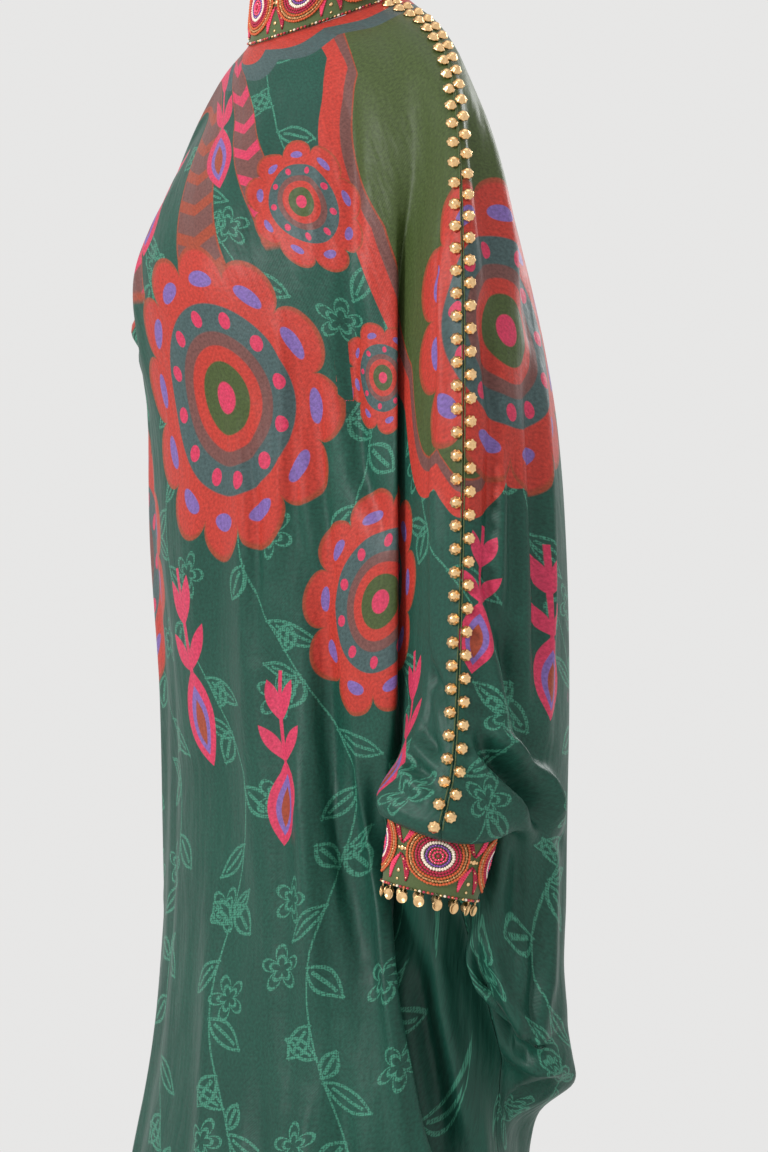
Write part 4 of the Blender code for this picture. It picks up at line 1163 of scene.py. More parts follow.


# Inks and metals, as values from 0 to 255
INK = {
    "green": (36, 100, 82),
    "deep": (24, 72, 60),
    "vine": (92, 184, 152),
    "slate": (78, 103, 103),
    "red": (214, 66, 52),
    "brick": (180, 78, 50),
    "mauve": (132, 84, 78),
    "pink": (236, 64, 104),
    "lilac": (142, 112, 190),
    "olive": (80, 98, 50),
    "gold": (244, 206, 152),
    "bronze": (186, 130, 78),
    "cream": (244, 226, 204),
    "crimson": (176, 26, 62),
    "orange": (206, 92, 44),
    "purple": (120, 60, 150),
    "moss": (62, 74, 34),
}


def linear(name):
    """Scene-linear colour of a named ink."""
    shares = [value / 255 for value in INK[name]]
    return tuple(c / 12.92 if c <= 0.04045 else ((c + 0.055) / 1.055) ** 2.4 for c in shares)


class Value:
    """A number or a vector in a material, on which each step of arithmetic is a math node."""

    def __init__(self, nodes, socket):
        self.nodes = nodes
        self.socket = socket

    def then(self, operation, *others):
        """The value after a math node."""
        return self.nodes.math(operation, self, *others)

    def __add__(self, other):
        return self.then("ADD", other)

    def __sub__(self, other):
        return self.then("SUBTRACT", other)

    def __rsub__(self, other):
        return self.nodes.math("SUBTRACT", other, self)

    def __mul__(self, other):
        return self.then("MULTIPLY", other)

    def __truediv__(self, other):
        return self.then("DIVIDE", other)

    def __rtruediv__(self, other):
        return self.nodes.math("DIVIDE", other, self)

    def __abs__(self):
        return self.then("ABSOLUTE")

    def split(self):
        """The vector's three numbers."""
        node = self.nodes.new("ShaderNodeSeparateXYZ")
        self.nodes.put(node.inputs[0], self)
        return [Value(self.nodes, socket) for socket in node.outputs]

    def joined(self, operation, other):
        """The vector after a vector math node."""
        node = self.nodes.new("ShaderNodeVectorMath", operation=operation)
        self.nodes.put(node.inputs[0], self)
        self.nodes.put(node.inputs[1], other)
        return Value(self.nodes, node.outputs[0])

    def wrapped(self, pitch):
        """The value within half a pitch of zero."""
        return self.then("WRAP", pitch / 2, -pitch / 2)

    def below(self, limit, soft):
        """1 where the value is below the limit, with a soft edge."""
        return self.nodes.map_range(self, "From", limit + soft, limit - soft)

    def ranged(self, low, high):
        """The value from 0 to 1 spread from low to high."""
        return self.nodes.map_range(self, "To", low, high)


def least(a, b):
    """Lower of a value and another."""
    return a.then("MINIMUM", b)


def most(a, b):
    """Higher of a value and another."""
    return a.then("MAXIMUM", b)


class Nodes:
    """Short calls that build a material's nodes."""

    def __init__(self, name):
        self.material = bpy.data.materials.new(name)
        self.material.use_nodes = True
        self.tree = self.material.node_tree
        self.shader = self.tree.nodes["Principled BSDF"]

    def new(self, kind, inputs=(), **values):
        """A node with its properties, and the inputs that are named."""
        node = self.tree.nodes.new(kind)
        for key, value in values.items():
            setattr(node, key, value)
        for name, value in dict(inputs).items():
            self.put(node.inputs[name], value)
        return node

    def put(self, socket, value):
        """Link a value or a colour into a socket, or set the socket's number."""
        if isinstance(value, Value):
            self.tree.links.new(value.socket, socket)
        else:
            socket.default_value = value

    def math(self, operation, *values):
        """A math node of some values."""
        node = self.new("ShaderNodeMath", operation=operation)
        for socket, value in zip(node.inputs, values):
            self.put(socket, value)
        return Value(self, node.outputs[0])

    def place(self):
        """Place on the object."""
        return Value(self, self.new("ShaderNodeTexCoord").outputs["Object"])

    def attribute(self, name, output="Vector"):
        """A named field of the mesh."""
        return Value(self, self.new("ShaderNodeAttribute", attribute_name=name).outputs[output])

    def map_range(self, value, side, low, high):
        """The value mapped from a range to 0 and 1, or from 0 and 1 to a range."""
        inputs = {"Value": value, f"{side} Min": low, f"{side} Max": high}
        return Value(self, self.new("ShaderNodeMapRange", inputs).outputs["Result"])

    def mix(self, share, low, high, blend="MIX"):
        """A colour from low to high by a share."""
        node = self.new("ShaderNodeMix", data_type="RGBA", blend_type=blend)
        for socket, value in ((node.inputs[0], share), (node.inputs[6], low), (node.inputs[7], high)):
            self.put(socket, (*value, 1.0) if isinstance(value, tuple) else value)
        return Value(self, node.outputs[2])

    def inked(self, share, colour, name):
        """The colour with a named ink over it."""
        return self.mix(share, colour, linear(name))

    def noise(self, where, scale, detail=2.0, roughness=0.5):
        """Cloudy noise from 0 to 1."""
        inputs = {"Vector": where, "Scale": scale, "Detail": detail, "Roughness": roughness}
        return Value(self, self.new("ShaderNodeTexNoise", inputs).outputs["Fac"])

    def cells(self, where, size, randomness, fields):
        """Named fields of scattered cells of about a size."""
        inputs = {"Vector": where, "Scale": 1 / size, "Randomness": randomness}
        node = self.new("ShaderNodeTexVoronoi", inputs, voronoi_dimensions="2D", feature="F1")
        return [Value(self, node.outputs[name]) for name in fields]

    def bump(self, height, distance, strength=1.0):
        """Press a height into the shader's normal."""
        inputs = {"Height": height, "Distance": distance, "Strength": strength}
        node = self.new("ShaderNodeBump", inputs)
        self.tree.links.new(node.outputs["Normal"], self.shader.inputs["Normal"])

    def set(self, **values):
        """Set or link the shader's inputs."""
        for key, value in values.items():
            self.put(self.shader.inputs[key.replace("_", " ")], value)


# Soft edge of a flower's parts, in radii
SOFT = 0.012
# Vines: soft edge, half width of a line, how much thinner a stem is, pitch of the stems, size of
# the cells that hold a sprig each, size of the dots, strength of the ink
VINE_SOFT = 0.0003
VINE_HALF = 0.0015
STEM_THIN = 0.0007
VINE_PITCH = 0.104
SPRIG_CELL = 0.088
DOT_CELL = 0.0019
VINE_STRENGTH = 0.62
# Waves of the stems: rate and reach, and how far each stem's leaves are shifted from the last
VINE_WAVES = ((17.0, 0.030), (5.3, 0.035))
VINE_SHIFT = 0.037
# Sprigs: petals, turn from cell to cell, share of cells without one, how unevenly they lie
SPRIG_PETALS = 5
SPRIG_TURN = 6.28
SPRIG_BARE = 0.35
SPRIG_SCATTER = 0.75
# Dots: how unevenly they lie, their reach in cells, and its soft edge
DOT_SCATTER = 0.35
DOT_REACH = (0.50, 0.10)
# Petal lines of a sprig: reach of the petals, radius between them
SPRIG_RINGS = ((0.013, 0.005), (0.006, 0.004))
# Bands of ink outside a broad ground and below the top edge: distance, ink
GROUND_BANDS = ((0.0300, "red"), (0.0110, "mauve"), (0.0016, "brick"), (0.0, "olive"))
TOP_BANDS = ((0.034, "slate"), (0.012, "red"))
BAND_SOFT = 0.0004
# Scallops of the bands below the top edge: rate around, depth
TOP_SCALLOPS = (52.0, 0.012)
# A flower in radii: depth of its scallops, width of its red rim, how far it reaches
PETAL_DEPTH = 0.20
PETAL_RIM = 0.035
FLOWER_REACH = 1.04
# Rings of ink in a flower: radius as a share, ink
FLOWER_RINGS = ((0.60, "slate"), (0.42, "mauve"), (0.33, "red"), (0.23, "olive"), (0.10, "pink"))
# Spots in the petals and between them: middle, half length, half width
PETAL_SPOT = (0.76, 0.055, 0.11)
INNER_SPOT = (0.51, 0.055, 0.050)
# A bud in lengths: outer oval, then ovals inside it with their inks, as middle, half length and
# half width; its leaves' oval, and the foot and lean of each pair
BUD_OVAL = (0.40, 0.42, 0.20)
BUD_CORES = (((0.42, 0.30, 0.12), "lilac"), ((0.44, 0.20, 0.065), "brick"))
LEAF_OVAL = (0.20, 0.22, 0.075)
BUD_LEAVES = ((0.02, 0.95), (0.42, 1.20))
BUD_SOFT = 0.004
# A bud's stem: half width, middle and half length
BUD_STEM = (0.025, -0.42, 0.48)
# Chevrons of a ribbon: pitch, half length, slope, sharpness
CHEVRONS = (0.032, 0.011, 0.9, 1.9)
# Leaves along a vine: pitch, shift, side, lean, length, width
LEAVES = (
    (0.091, 0.000, 1.0, 0.70, 0.038, 0.017),
    (0.091, 0.046, -1.0, 0.75, 0.035, 0.016),
    (0.168, 0.025, 1.0, -0.85, 0.026, 0.012),
    (0.147, 0.083, -1.0, -0.60, 0.030, 0.014),
)


def leaf_outline(x, y, length, width):
    """Distance, in metres, from the outline and the vein of a pointed leaf along +x."""
    middle = abs(x - length / 2)
    share = middle / (length / 2)
    arch = most(1.0 - share * share, 0.0)
    off = abs(y)
    outline = most(abs(off - arch * (width / 2)), middle - length / 2)
    return least(outline, most(off, middle - length * 0.3))


def turned(x, y, angle):
    """Coordinates turned by a fixed angle."""
    c, s = math.cos(angle), math.sin(angle)
    return x * c + y * s, y * c - x * s


def vine_lines(nodes, place):
    """Share of dotted tonal vine at a place of the cloth: waving stems, leaves and sprigs."""
    s, t, _ = place.split()
    across = s
    for rate, reach in VINE_WAVES:
        across = across + (t * rate).then("SINE") * reach
    order = (across / VINE_PITCH).then("ROUND")
    across = across.wrapped(VINE_PITCH)
    moved = t + order * VINE_SHIFT
    nearest = abs(across) + STEM_THIN
    for pitch, shift, side, lean, length, width in LEAVES:
        x, y = turned(across * side, (moved + shift).wrapped(pitch), lean)
        nearest = least(nearest, leaf_outline(x, y, length, width))
    shade, middle = nodes.cells(place, SPRIG_CELL, SPRIG_SCATTER, ("Color", "Position"))
    tone = shade.split()[0]
    x, y, _ = place.joined("SUBTRACT", middle).split()
    radius = (x * x + y * y).then("SQRT")
    angle = y.then("ARCTAN2", x) + tone * SPRIG_TURN
    lobe = abs((angle * (SPRIG_PETALS / 2)).then("COSINE"))
    bare = tone.below(SPRIG_BARE, 0.001)
    for reach, foot in SPRIG_RINGS:
        nearest = least(nearest, abs(radius - (lobe * reach + foot)) + bare)
    spots, = nodes.cells(place, DOT_CELL, DOT_SCATTER, ("Distance",))
    return nearest.below(VINE_HALF, VINE_SOFT) * spots.below(*DOT_REACH)


def flower_colour(nodes, colour, far):
    """The colour with the round flowers over it."""
    x, y, petals = nodes.attribute("print_flower").split()
    rho = (x * x + y * y).then("SQRT")
    turn = y.then("ARCTAN2", x) * (petals / math.tau)
    offset = turn.wrapped(1.0)
    between = (turn + 0.5).wrapped(1.0)
    scallop = abs((offset * math.pi).then("COSINE")).then("SQRT") * PETAL_DEPTH + (1 - PETAL_DEPTH)
    past = rho - scallop
    width = rho * (math.tau / petals)

    def spot(side, middle, length, half):
        """Share of an oval spot inside the petals."""
        down = (rho - middle) / length
        over = side * width / half
        return (down * down + over * over).below(1.0, 0.08)

    flower = nodes.mix(past.below(-PETAL_RIM, SOFT), linear("brick"), linear("red"))
    flower = nodes.inked(spot(offset, *PETAL_SPOT), flower, "lilac")
    for limit, ink in FLOWER_RINGS:
        flower = nodes.inked(rho.below(limit, 0.005), flower, ink)
    flower = nodes.inked(spot(between, *INNER_SPOT), flower, "pink")
    return nodes.mix(past.below(0.0, SOFT / 2) * far.below(FLOWER_REACH, 0.01), colour, flower)


def almond(along, off, middle, half_length, half_width):
    """Distance past the edge of a pointed oval."""
    share = (along - middle) / half_length
    return abs(off) - (1.0 - share * share) * half_width


def bud_colour(nodes, colour, far):
    """The colour with sprays over it, each of one bud and two pairs of leaves."""
    x, y, _ = nodes.attribute("print_bud").split()
    across = abs(x)
    half_width, middle, half_length = BUD_STEM
    stem = most(across - half_width, abs(y - middle) - half_length)
    shape = least(almond(y, across, *BUD_OVAL), stem)
    for foot, lean in BUD_LEAVES:
        along, off = turned(across, y + foot, -lean)
        shape = least(shape, almond(along, off, *LEAF_OVAL))
    ink = linear("pink")
    for oval, name in BUD_CORES:
        ink = nodes.inked(almond(y, across, *oval).below(0.0, BUD_SOFT), ink, name)
    return nodes.mix(shape.below(0.0, BUD_SOFT) * far.below(1.0, 0.01), colour, ink)


def ribbon_colour(nodes, colour, far):
    """The colour with the ribbons over it, each with a row of chevrons."""
    across, run, tone = nodes.attribute("print_ribbon").split()
    pitch, half_length, slope, sharpness = CHEVRONS
    chevron = abs(run.wrapped(pitch) / half_length + abs(across) * slope) * sharpness
    mark = nodes.mix(tone, linear("brick"), linear("pink"))
    ribbon = nodes.mix(chevron.below(1.0, 0.08), linear("mauve"), mark)
    ribbon = nodes.mix(far.below(0.93, 0.02), linear("brick"), ribbon)
    return nodes.mix(far.below(1.0, 0.02), colour, ribbon)


def satin():
    """Printed satin: green ground with tonal vines under a floral in flat inks."""
    nodes = Nodes("printed_satin")
    place = Value(nodes, nodes.new("ShaderNodeUVMap", uv_map="cloth").outputs["UV"])
    flower_far, bud_far, ribbon_far = nodes.attribute("print_far").split()
    ground_rim, edge, around = nodes.attribute("print_ground").split()

    colour = nodes.mix(nodes.noise(place, 9.0, 3.0, 0.55), linear("deep"), linear("green"))
    colour = nodes.inked(vine_lines(nodes, place) * VINE_STRENGTH, colour, "vine")
    rate, depth = TOP_SCALLOPS
    hung = edge - abs((around * rate).then("SINE")) * depth
    for distance, bands in ((ground_rim, GROUND_BANDS), (hung, TOP_BANDS)):
        for limit, ink in bands:
            colour = nodes.inked(distance.below(limit, BAND_SOFT), colour, ink)
    colour = ribbon_colour(nodes, colour, ribbon_far)
    colour = bud_colour(nodes, colour, bud_far)
    colour = flower_colour(nodes, colour, flower_far)

    fine = nodes.noise(place, 420.0, 2.0, 0.6)
    colour = nodes.mix(1.0, colour, fine.ranged(0.20, 0.98), "MULTIPLY")
    weave = nodes.new("ShaderNodeTexWave", {"Vector": place, "Scale": 260.0, "Distortion": 1.5},
                      wave_type="BANDS", bands_direction="DIAGONAL")
    wrinkle = nodes.noise(place.joined("MULTIPLY", (1.0, 0.22, 1.0)), 34.0, 3.0, 0.5) * 4.0
    pucker = nodes.noise(place, 75.0, 2.0, 0.5) * 0.5
    grain = Value(nodes, weave.outputs["Fac"]) * 0.035 + fine * 0.1
    nodes.set(Base_Color=colour, Roughness=nodes.noise(place, 60.0).ranged(0.42, 0.54),
              Specular_IOR_Level=0.28, Sheen_Weight=0.04, Sheen_Roughness=0.35)
    nodes.bump(wrinkle + pucker + grain, 0.001)
    return nodes.material


def tinted(name, roughness, metallic=0.0, coat=0.0, scale=900.0):
    """Material whose colour is the tint of each bead or thread, with a fine grain."""
    nodes = Nodes(name)
    grain = nodes.noise(nodes.place(), scale, 3.0, 0.6)
    colour = nodes.mix(1.0, nodes.attribute("tint", "Color"), grain.ranged(0.72, 1.18), "MULTIPLY")
    nodes.set(Base_Color=colour, Roughness=roughness, Metallic=metallic, Coat_Weight=coat)
    nodes.bump(grain, 0.0002, 0.6)
    return nodes.material


def gold_metal():
    """Warm pale gold of studs and coins, duller and browner in patches."""
    nodes = Nodes("gold_metal")
    cloud = nodes.noise(nodes.place(), 320.0, 3.0, 0.6)
    colour = nodes.mix(cloud.ranged(0.35, 1.25), linear("bronze"), linear("gold"))
    nodes.set(Base_Color=colour, Roughness=cloud.ranged(0.20, 0.40), Metallic=1.0)
    nodes.bump(cloud, 0.00015, 0.5)
    return nodes.material


def braid_cloth():
    """Olive ground of the collar and the cuff, a close plain weave."""
    nodes = Nodes("braid_ground")
    speck = nodes.noise(nodes.place(), 700.0, 3.0, 0.65)
    colour = nodes.mix(speck, linear("moss"), linear("olive"))
    nodes.set(Base_Color=colour, Roughness=0.75, Sheen_Weight=0.2)
    nodes.bump(speck, 0.0003, 0.8)
    return nodes.material


# Finer steps of the collar and the cuff
BAND_ROWS = 22
COLLAR_FINE_STEPS = 264
CUFF_FINE_STEPS = 176

# Rings of one embroidered rosette: radius, count, half length, half width, half height, ink, kind
ROSETTE_RINGS = (
    (0.0000, 1, 0.0015, 0.0015, 0.0011, "crimson", "thread"),
    (0.0032, 10, 0.0012, 0.0011, 0.0010, "pink", "glass"),
    (0.0056, 18, 0.0012, 0.0009, 0.0008, "pink", "glass"),
    (0.0078, 26, 0.0012, 0.0010, 0.0009, "purple", "glass"),
    (0.0103, 34, 0.0012, 0.0015, 0.0010, "cream", "glass"),
    (0.0126, 38, 0.0013, 0.0012, 0.0010, "crimson", "thread"),
    (0.0149, 44, 0.0013, 0.0011, 0.0009, "crimson", "thread"),
    (0.0172, 50, 0.0013, 0.0011, 0.0010, "orange", "thread"),
    (0.0194, 24, 0.0008, 0.0008, 0.0007, "gold", "metal"),
    (0.0194, 56, 0.0013, 0.0010, 0.0007, "bronze", "thread"),
    (0.0216, 62, 0.0014, 0.0011, 0.0009, "orange", "thread"),
)
# Sprays between rosettes: start across, start up, end across, end up, bow, count, ink
SPRAYS = (
    (0.0008, 0.0046, 0.0078, 0.0232, 0.0022, 12, "pink"),
    (-0.0008, 0.0046, -0.0078, 0.0232, -0.0022, 12, "crimson"),
    (0.0008, -0.0046, 0.0078, -0.0232, 0.0022, 12, "crimson"),
    (-0.0008, -0.0046, -0.0078, -0.0232, -0.0022, 12, "pink"),
)
SPRAY_SPREAD = 0.0015
SPRAY_LIFT = 0.0005
SPRAY_BEAD = (0.0012, 0.0009, 0.0009)
# Gold discs and beads between rosettes: across, up, radius
SEQUINS = (
    (0.0000, 0.0000, 0.0022),
    (0.0030, 0.0000, 0.0014),
    (-0.0030, 0.0000, 0.0014),
    (0.0000, 0.0170, 0.0017),
    (0.0000, -0.0170, 0.0017),
    (0.0000, 0.0235, 0.0012),
    (0.0000, -0.0235, 0.0012),
)
SEQUIN_LIFT = 0.0004
SEQUIN_THICKNESS = 0.0006
# How far a rosette's beads stray, how much they turn for it, and their lift in half heights
BEAD_STRAY = 0.0004
BEAD_TURN = 700
BEAD_LIFT = 0.4
EDGE_INKS = ("crimson", "moss", "gold", "cream", "crimson", "orange")
EDGE_PITCH = 0.0030
EDGE_BEAD = 0.0011

# Studs: rings of the fluted dome as shares of radius and height, and its lobes
DOME_RINGS = ((1.0, 0.0), (1.0, 0.16), (0.90, 0.34), (0.74, 0.44), (0.62, 0.78), (0.40, 0.94), (0.0, 1.0))
DOME_SIDES = 32
DOME_LOBES = 8
DOME_FLUTE = 0.075
DOME_TURN = 0.8

# Piping along both sides of the over-arm seam
PIPING_RADIUS = 0.0005
PIPING_LIFT = 0.0003

# Coins at the cuff's foot, with their rings as shares of radius and thickness
COINS = 16
COIN_RADIUS = 0.0043
COIN_DROP = 0.0068
COIN_THICKNESS = 0.0007
COIN_SIDES = 24
COIN_TILT = 0.9
# Coins and the two drop beads above each hang just inside the cuff's face
DROP_INSET = 0.0004
DROP_PITCH = 0.0013
DROP_BEAD = (0.0006, 0.0008, 0.0006)
COIN_RINGS = ((1.0, 0.0), (1.0, 1.0), (0.86, 1.0), (0.82, 0.55), (0.0, 0.55))


def grid_mesh(name, outer, inner, ring=False, open_quads=None):
    """Closed thin wall between two arrays of points, and each vertex's row and column order."""
    rows, columns = outer.shape[:2]
    order = np.arange(rows * columns).reshape(rows, columns)
    if ring:
        order = np.concatenate([order, order[:, :1]], axis=1)
    quads = np.stack([order[:-1, :-1], order[1:, :-1], order[1:, 1:], order[:-1, 1:]], axis=-1)
    quads = quads.reshape(-1, 4) if open_quads is None else quads[~open_quads]
    sides = np.concatenate([quads[:, [n, (n + 1) % 4]] for n in range(4)])
    keys = sides[:, 0].astype(np.int64) * order.size * 2 + sides[:, 1]
    back_keys = sides[:, 1].astype(np.int64) * order.size * 2 + sides[:, 0]
    rims = sides[~np.isin(keys, back_keys)]
    lift = rows * columns
    rim_quads = np.stack([rims[:, 1], rims[:, 0], rims[:, 0] + lift, rims[:, 1] + lift], axis=-1)
    faces = np.concatenate([quads, quads[:, ::-1] + lift, rim_quads])
    points = np.concatenate([outer.reshape(-1, 3), inner.reshape(-1, 3)])
    used = np.zeros(len(points), bool)
    used[faces.ravel()] = True
    fresh = np.cumsum(used) - 1
    data = bpy.data.meshes.new(name)
    data.from_pydata(points[used].tolist(), [], fresh[faces].tolist())
    data.shade_smooth()
    return data, used


def add_piece(name, data, look, slot, *nodes):
    """Object of a mesh that rides on the dress, with its finish and the solids it stands for."""
    data.materials.append(look)
    piece = bpy.data.objects.new(name, data)
    bpy.context.scene.collection.objects.link(piece)
    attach(piece, "root")
    if nodes:
        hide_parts(*nodes)
    return piece


def unit(vectors):
    """Vectors of length 1."""
    return vectors / np.maximum(np.linalg.norm(vectors, axis=-1, keepdims=True), 1e-12)


def cloth_shell(name, cloth, first, last, look):
    """One cloth panel as a thin shell, with its print's fields."""
    columns = np.arange(first, last + 1) % cloth.columns
    outer = cloth.points[:, columns].copy()
    facing = cloth.facing[:, columns]
    s = cloth.across[:, columns].copy()
    if last >= cloth.columns:
        s[:, -1] = s[:, -2] + np.linalg.norm(outer[:, -1] - outer[:, -2], axis=-1)
    t = cloth.down[:, columns]
    outer[:, 0] += unit(outer[:, 1] - outer[:, 0]) * SEAM_GAP
    outer[:, -1] += unit(outer[:, -2] - outer[:, -1]) * SEAM_GAP
    inner = outer - facing * SHELL
    inner[0, :, 2] = np.minimum(inner[0, :, 2], outer[0, :, 2])
    gaps = ~cloth.closed[:-1][:, columns[:-1]]
    data, used = grid_mesh(name, outer, inner, open_quads=gaps)
    fields = print_fields(s, t, cloth.drop[:, columns])
    for field, values in fields.items():
        flat = np.concatenate([values.reshape(-1, 3)] * 2)[used]
        layer = data.attributes.new(field, "FLOAT_VECTOR", "POINT")
        layer.data.foreach_set("vector", flat.ravel())
    corners = np.zeros(len(data.loops), np.int32)
    data.loops.foreach_get("vertex_index", corners)
    flat = np.concatenate([np.stack([s, t], axis=-1).reshape(-1, 2)] * 2)[used]
    data.uv_layers.new(name="cloth").data.foreach_set("uv", flat[corners].ravel())
    return add_piece(name, data, look, "satin", name.split("_")[0])


def collar_spot(along_ring, up, proud=0.0):
    """Point of the collar's outer face at a distance around from its opening and a height."""
    angle = COLLAR_OPENING_ANGLE + math.degrees(along_ring / COLLAR_RADIUS)
    radial = Vector((math.cos(math.radians(angle)), math.sin(math.radians(angle)), 0))
    base = collar_base(angle) + Vector((0, 0, up + COLLAR_GAP))
    return base + radial * (proud - COLLAR_LEAN * up)


def cuff_spot(along_ring, up, proud=0.0):
    """Point of the cuff's outer face at a distance around and a height above its foot."""
    radius = (CUFF_HALF_WIDTH + CUFF_HALF_DEPTH) / 2
    return cuff_point(-along_ring / radius, CUFF_HEIGHT - up, proud)


def band_frame(spot, along_ring, up, proud):
    """Centre, axis around, axis up and outward axis of a place on a band."""
    centre = spot(along_ring, up, proud)
    around = (spot(along_ring + 0.001, up, proud) - spot(along_ring - 0.001, up, proud)).normalized()
    upward = (spot(along_ring, up + 0.001, proud) - centre).normalized()
    outward = around.cross(upward).normalized()
    return centre, around, upward, outward


def rosette_row(length, height, count, shift):
    """Middles of the rosettes on a band, or of the places between them, at a shift in pitches."""
    return [(length * (n + shift) / count, height / 2) for n in range(count)]


def band(name, look, spot, length, height, count, shift, steps, wall):
    """Fine wall of the collar or the cuff, raised under its rosettes."""
    middles = rosette_row(length, height, count, shift)
    outer, inner = [], []
    for row in range(BAND_ROWS + 1):
        up = height * (1 - row / BAND_ROWS)
        line, lining = [], []
        for step in range(steps):
            place = length * step / steps
            near = min(math.hypot((place - a + length / 2) % length - length / 2, up - b)
                       for a, b in middles)
            line.append(tuple(spot(place, up, rosette_raise(near))))
            lining.append(tuple(spot(place, up, -wall)))
        outer.append(line)
        inner.append(lining)
    data, _ = grid_mesh(f"{name}_band", np.array(outer), np.array(inner), ring=True)
    add_piece(f"{name}_band", data, look, "braid", name)


def ball(mesh):
    """Unit bead."""
    bmesh.ops.create_uvsphere(mesh, u_segments=8, v_segments=5, radius=1.0)


def revolved(rings, sides, lobes=0, flute=0.0):
    """Maker of a unit turned shape from rings of radius and height, with lobes around it."""
    def make(mesh):
        """Put the shape into an empty mesh."""
        lines = []
        for radius, height in rings:
            if radius == 0.0:
                lines.append([mesh.verts.new((0, 0, height))] * sides)
                continue
            line = []
            for n in range(sides):
                turn = math.tau * n / sides
                lobe = 1 + flute * math.cos(lobes * turn) * radius
                line.append(mesh.verts.new((radius * lobe * math.cos(turn),
                                            radius * lobe * math.sin(turn), height)))
            lines.append(line)
        for low, high in zip(lines, lines[1:]):
            for n in range(sides):
                k = (n + 1) % sides
                corners = [low[n], low[k], high[k], high[n]]
                mesh.faces.new(list(dict.fromkeys(corners)))
        mesh.faces.new(lines[0][::-1])
    return make


class Pile:
    """Many small copies of one shape, joined into one mesh with a tint each."""

    def __init__(self, make):
        mesh = bmesh.new()
        make(mesh)
        mesh.verts.index_update()
        self.shape = np.array([vertex.co[:] for vertex in mesh.verts])
        self.faces = [[vertex.index for vertex in face.verts] for face in mesh.faces]
        mesh.free()
        self.frames, self.centres, self.inks = [], [], []

    def add(self, centre, x_axis, y_axis, z_axis, ink):
        """One more copy, stretched along three axes."""
        self.centres.append(tuple(centre))
        self.frames.append([tuple(x_axis), tuple(y_axis), tuple(z_axis)])
        self.inks.append((*linear(ink), 1.0))

    def mesh(self, name):
        """All copies as one mesh, with their tints."""
        points = np.einsum("pk,nkc->npc", self.shape, np.array(self.frames))
        points += np.array(self.centres)[:, None]
        size = len(self.shape)
        faces = [[v + n * size for v in face] for n in range(len(self.centres)) for face in self.faces]
        data = bpy.data.meshes.new(name)
        data.from_pydata(points.reshape(-1, 3).tolist(), [], faces)
        tint = data.color_attributes.new("tint", "FLOAT_COLOR", "POINT")
        tint.data.foreach_set("color", np.repeat(np.array(self.inks), size, axis=0).ravel())
        data.shade_smooth()
        return data


def shaky(*numbers):
    """Repeatable value from 0 to 1 that looks random."""
    return math.sin(sum(n * k for n, k in zip(numbers, (12.9898, 78.233, 37.719)))) * 43758.5453 % 1.0


def put_bead(pile, spot, along_ring, up, lift, turn, half_length, half_width, half_height, ink):
    """One bead on a band, turned in its face."""
    centre, around, upward, outward = band_frame(spot, along_ring, up, lift)
    x_axis = around * math.cos(turn) + upward * math.sin(turn)
    y_axis = upward * math.cos(turn) - around * math.sin(turn)
    pile.add(centre, x_axis * half_length, y_axis * half_width, outward * half_height, ink)


def embroider(piles, spot, length, height, middles, betweens):
    """Bead and thread rosettes, the sprays between them, sequins and beaded edges."""
    for order, (a, b) in enumerate(middles):
        for radius, count, half_length, half_width, half_height, ink, kind in ROSETTE_RINGS:
            for n in range(count):
                turn = math.tau * (n + 0.5 * (order % 2)) / count
                wobble = (shaky(order, n, radius * 1000) - 0.5) * BEAD_STRAY
                rho = radius + wobble if radius else 0.0
                put_bead(piles[kind], spot, a + rho * math.cos(turn), b + rho * math.sin(turn),
                         ROSETTE_RAISE + half_height * BEAD_LIFT, turn + math.pi / 2 + wobble * BEAD_TURN,
                         half_length, half_width, half_height, ink)
    for order, (a, b) in enumerate(betweens):
        for start_a, start_b, end_a, end_b, bow, count, ink in SPRAYS:
            for n in range(count):
                share = n / (count - 1)
                arc = math.sin(share * math.pi) * bow
                da = start_a + (end_a - start_a) * share + arc
                db = start_b + (end_b - start_b) * share
                turn = math.atan2(end_b - start_b, end_a - start_a) + 0.5 * math.cos(share * math.pi)
                aside = math.sin(share * math.pi) * SPRAY_SPREAD
                for row in (-1, 0, 1):
                    gold = row == 0 and n % 4 == 2 and ink == "crimson"
                    kind, shown = ("metal", "gold") if gold else ("thread", ink)
                    put_bead(piles[kind], spot, a + da - math.sin(turn) * aside * row,
                             b + db + math.cos(turn) * aside * row, SPRAY_LIFT, turn, *SPRAY_BEAD, shown)
        for da, db, radius in SEQUINS:
            put_bead(piles["metal"], spot, a + da, b + db, SEQUIN_LIFT, 0.0,
                     radius, radius, SEQUIN_THICKNESS, "gold")
    count = round(length / EDGE_PITCH)
    for up in (EDGE_BEAD, height - EDGE_BEAD):
        for n in range(count):
            ink = EDGE_INKS[n % len(EDGE_INKS)]
            kind = "metal" if ink == "gold" else "glass"
            put_bead(piles[kind], spot, length * (n + 0.5) / count, up, EDGE_BEAD * 0.6, 0.0,
                     EDGE_BEAD * 1.15, EDGE_BEAD, EDGE_BEAD, ink)


def seam_rows(cloth, side):
    """Places beside the over-arm seam on a panel, with normals and directions to the side."""
    line = []
    for row in range(int(np.searchsorted(cloth.level, level_row("LIP"))) + 1):
        edge, near = (Vector(cloth.points[row, cloth.seam + step]) for step in (0, side))
        normal = Vector(cloth.facing[row, cloth.seam])
        aside = near - edge
        aside = (aside - normal * aside.dot(normal)).normalized()
        line.append((edge + aside * STUD_OFFSET, normal, aside))
    return line


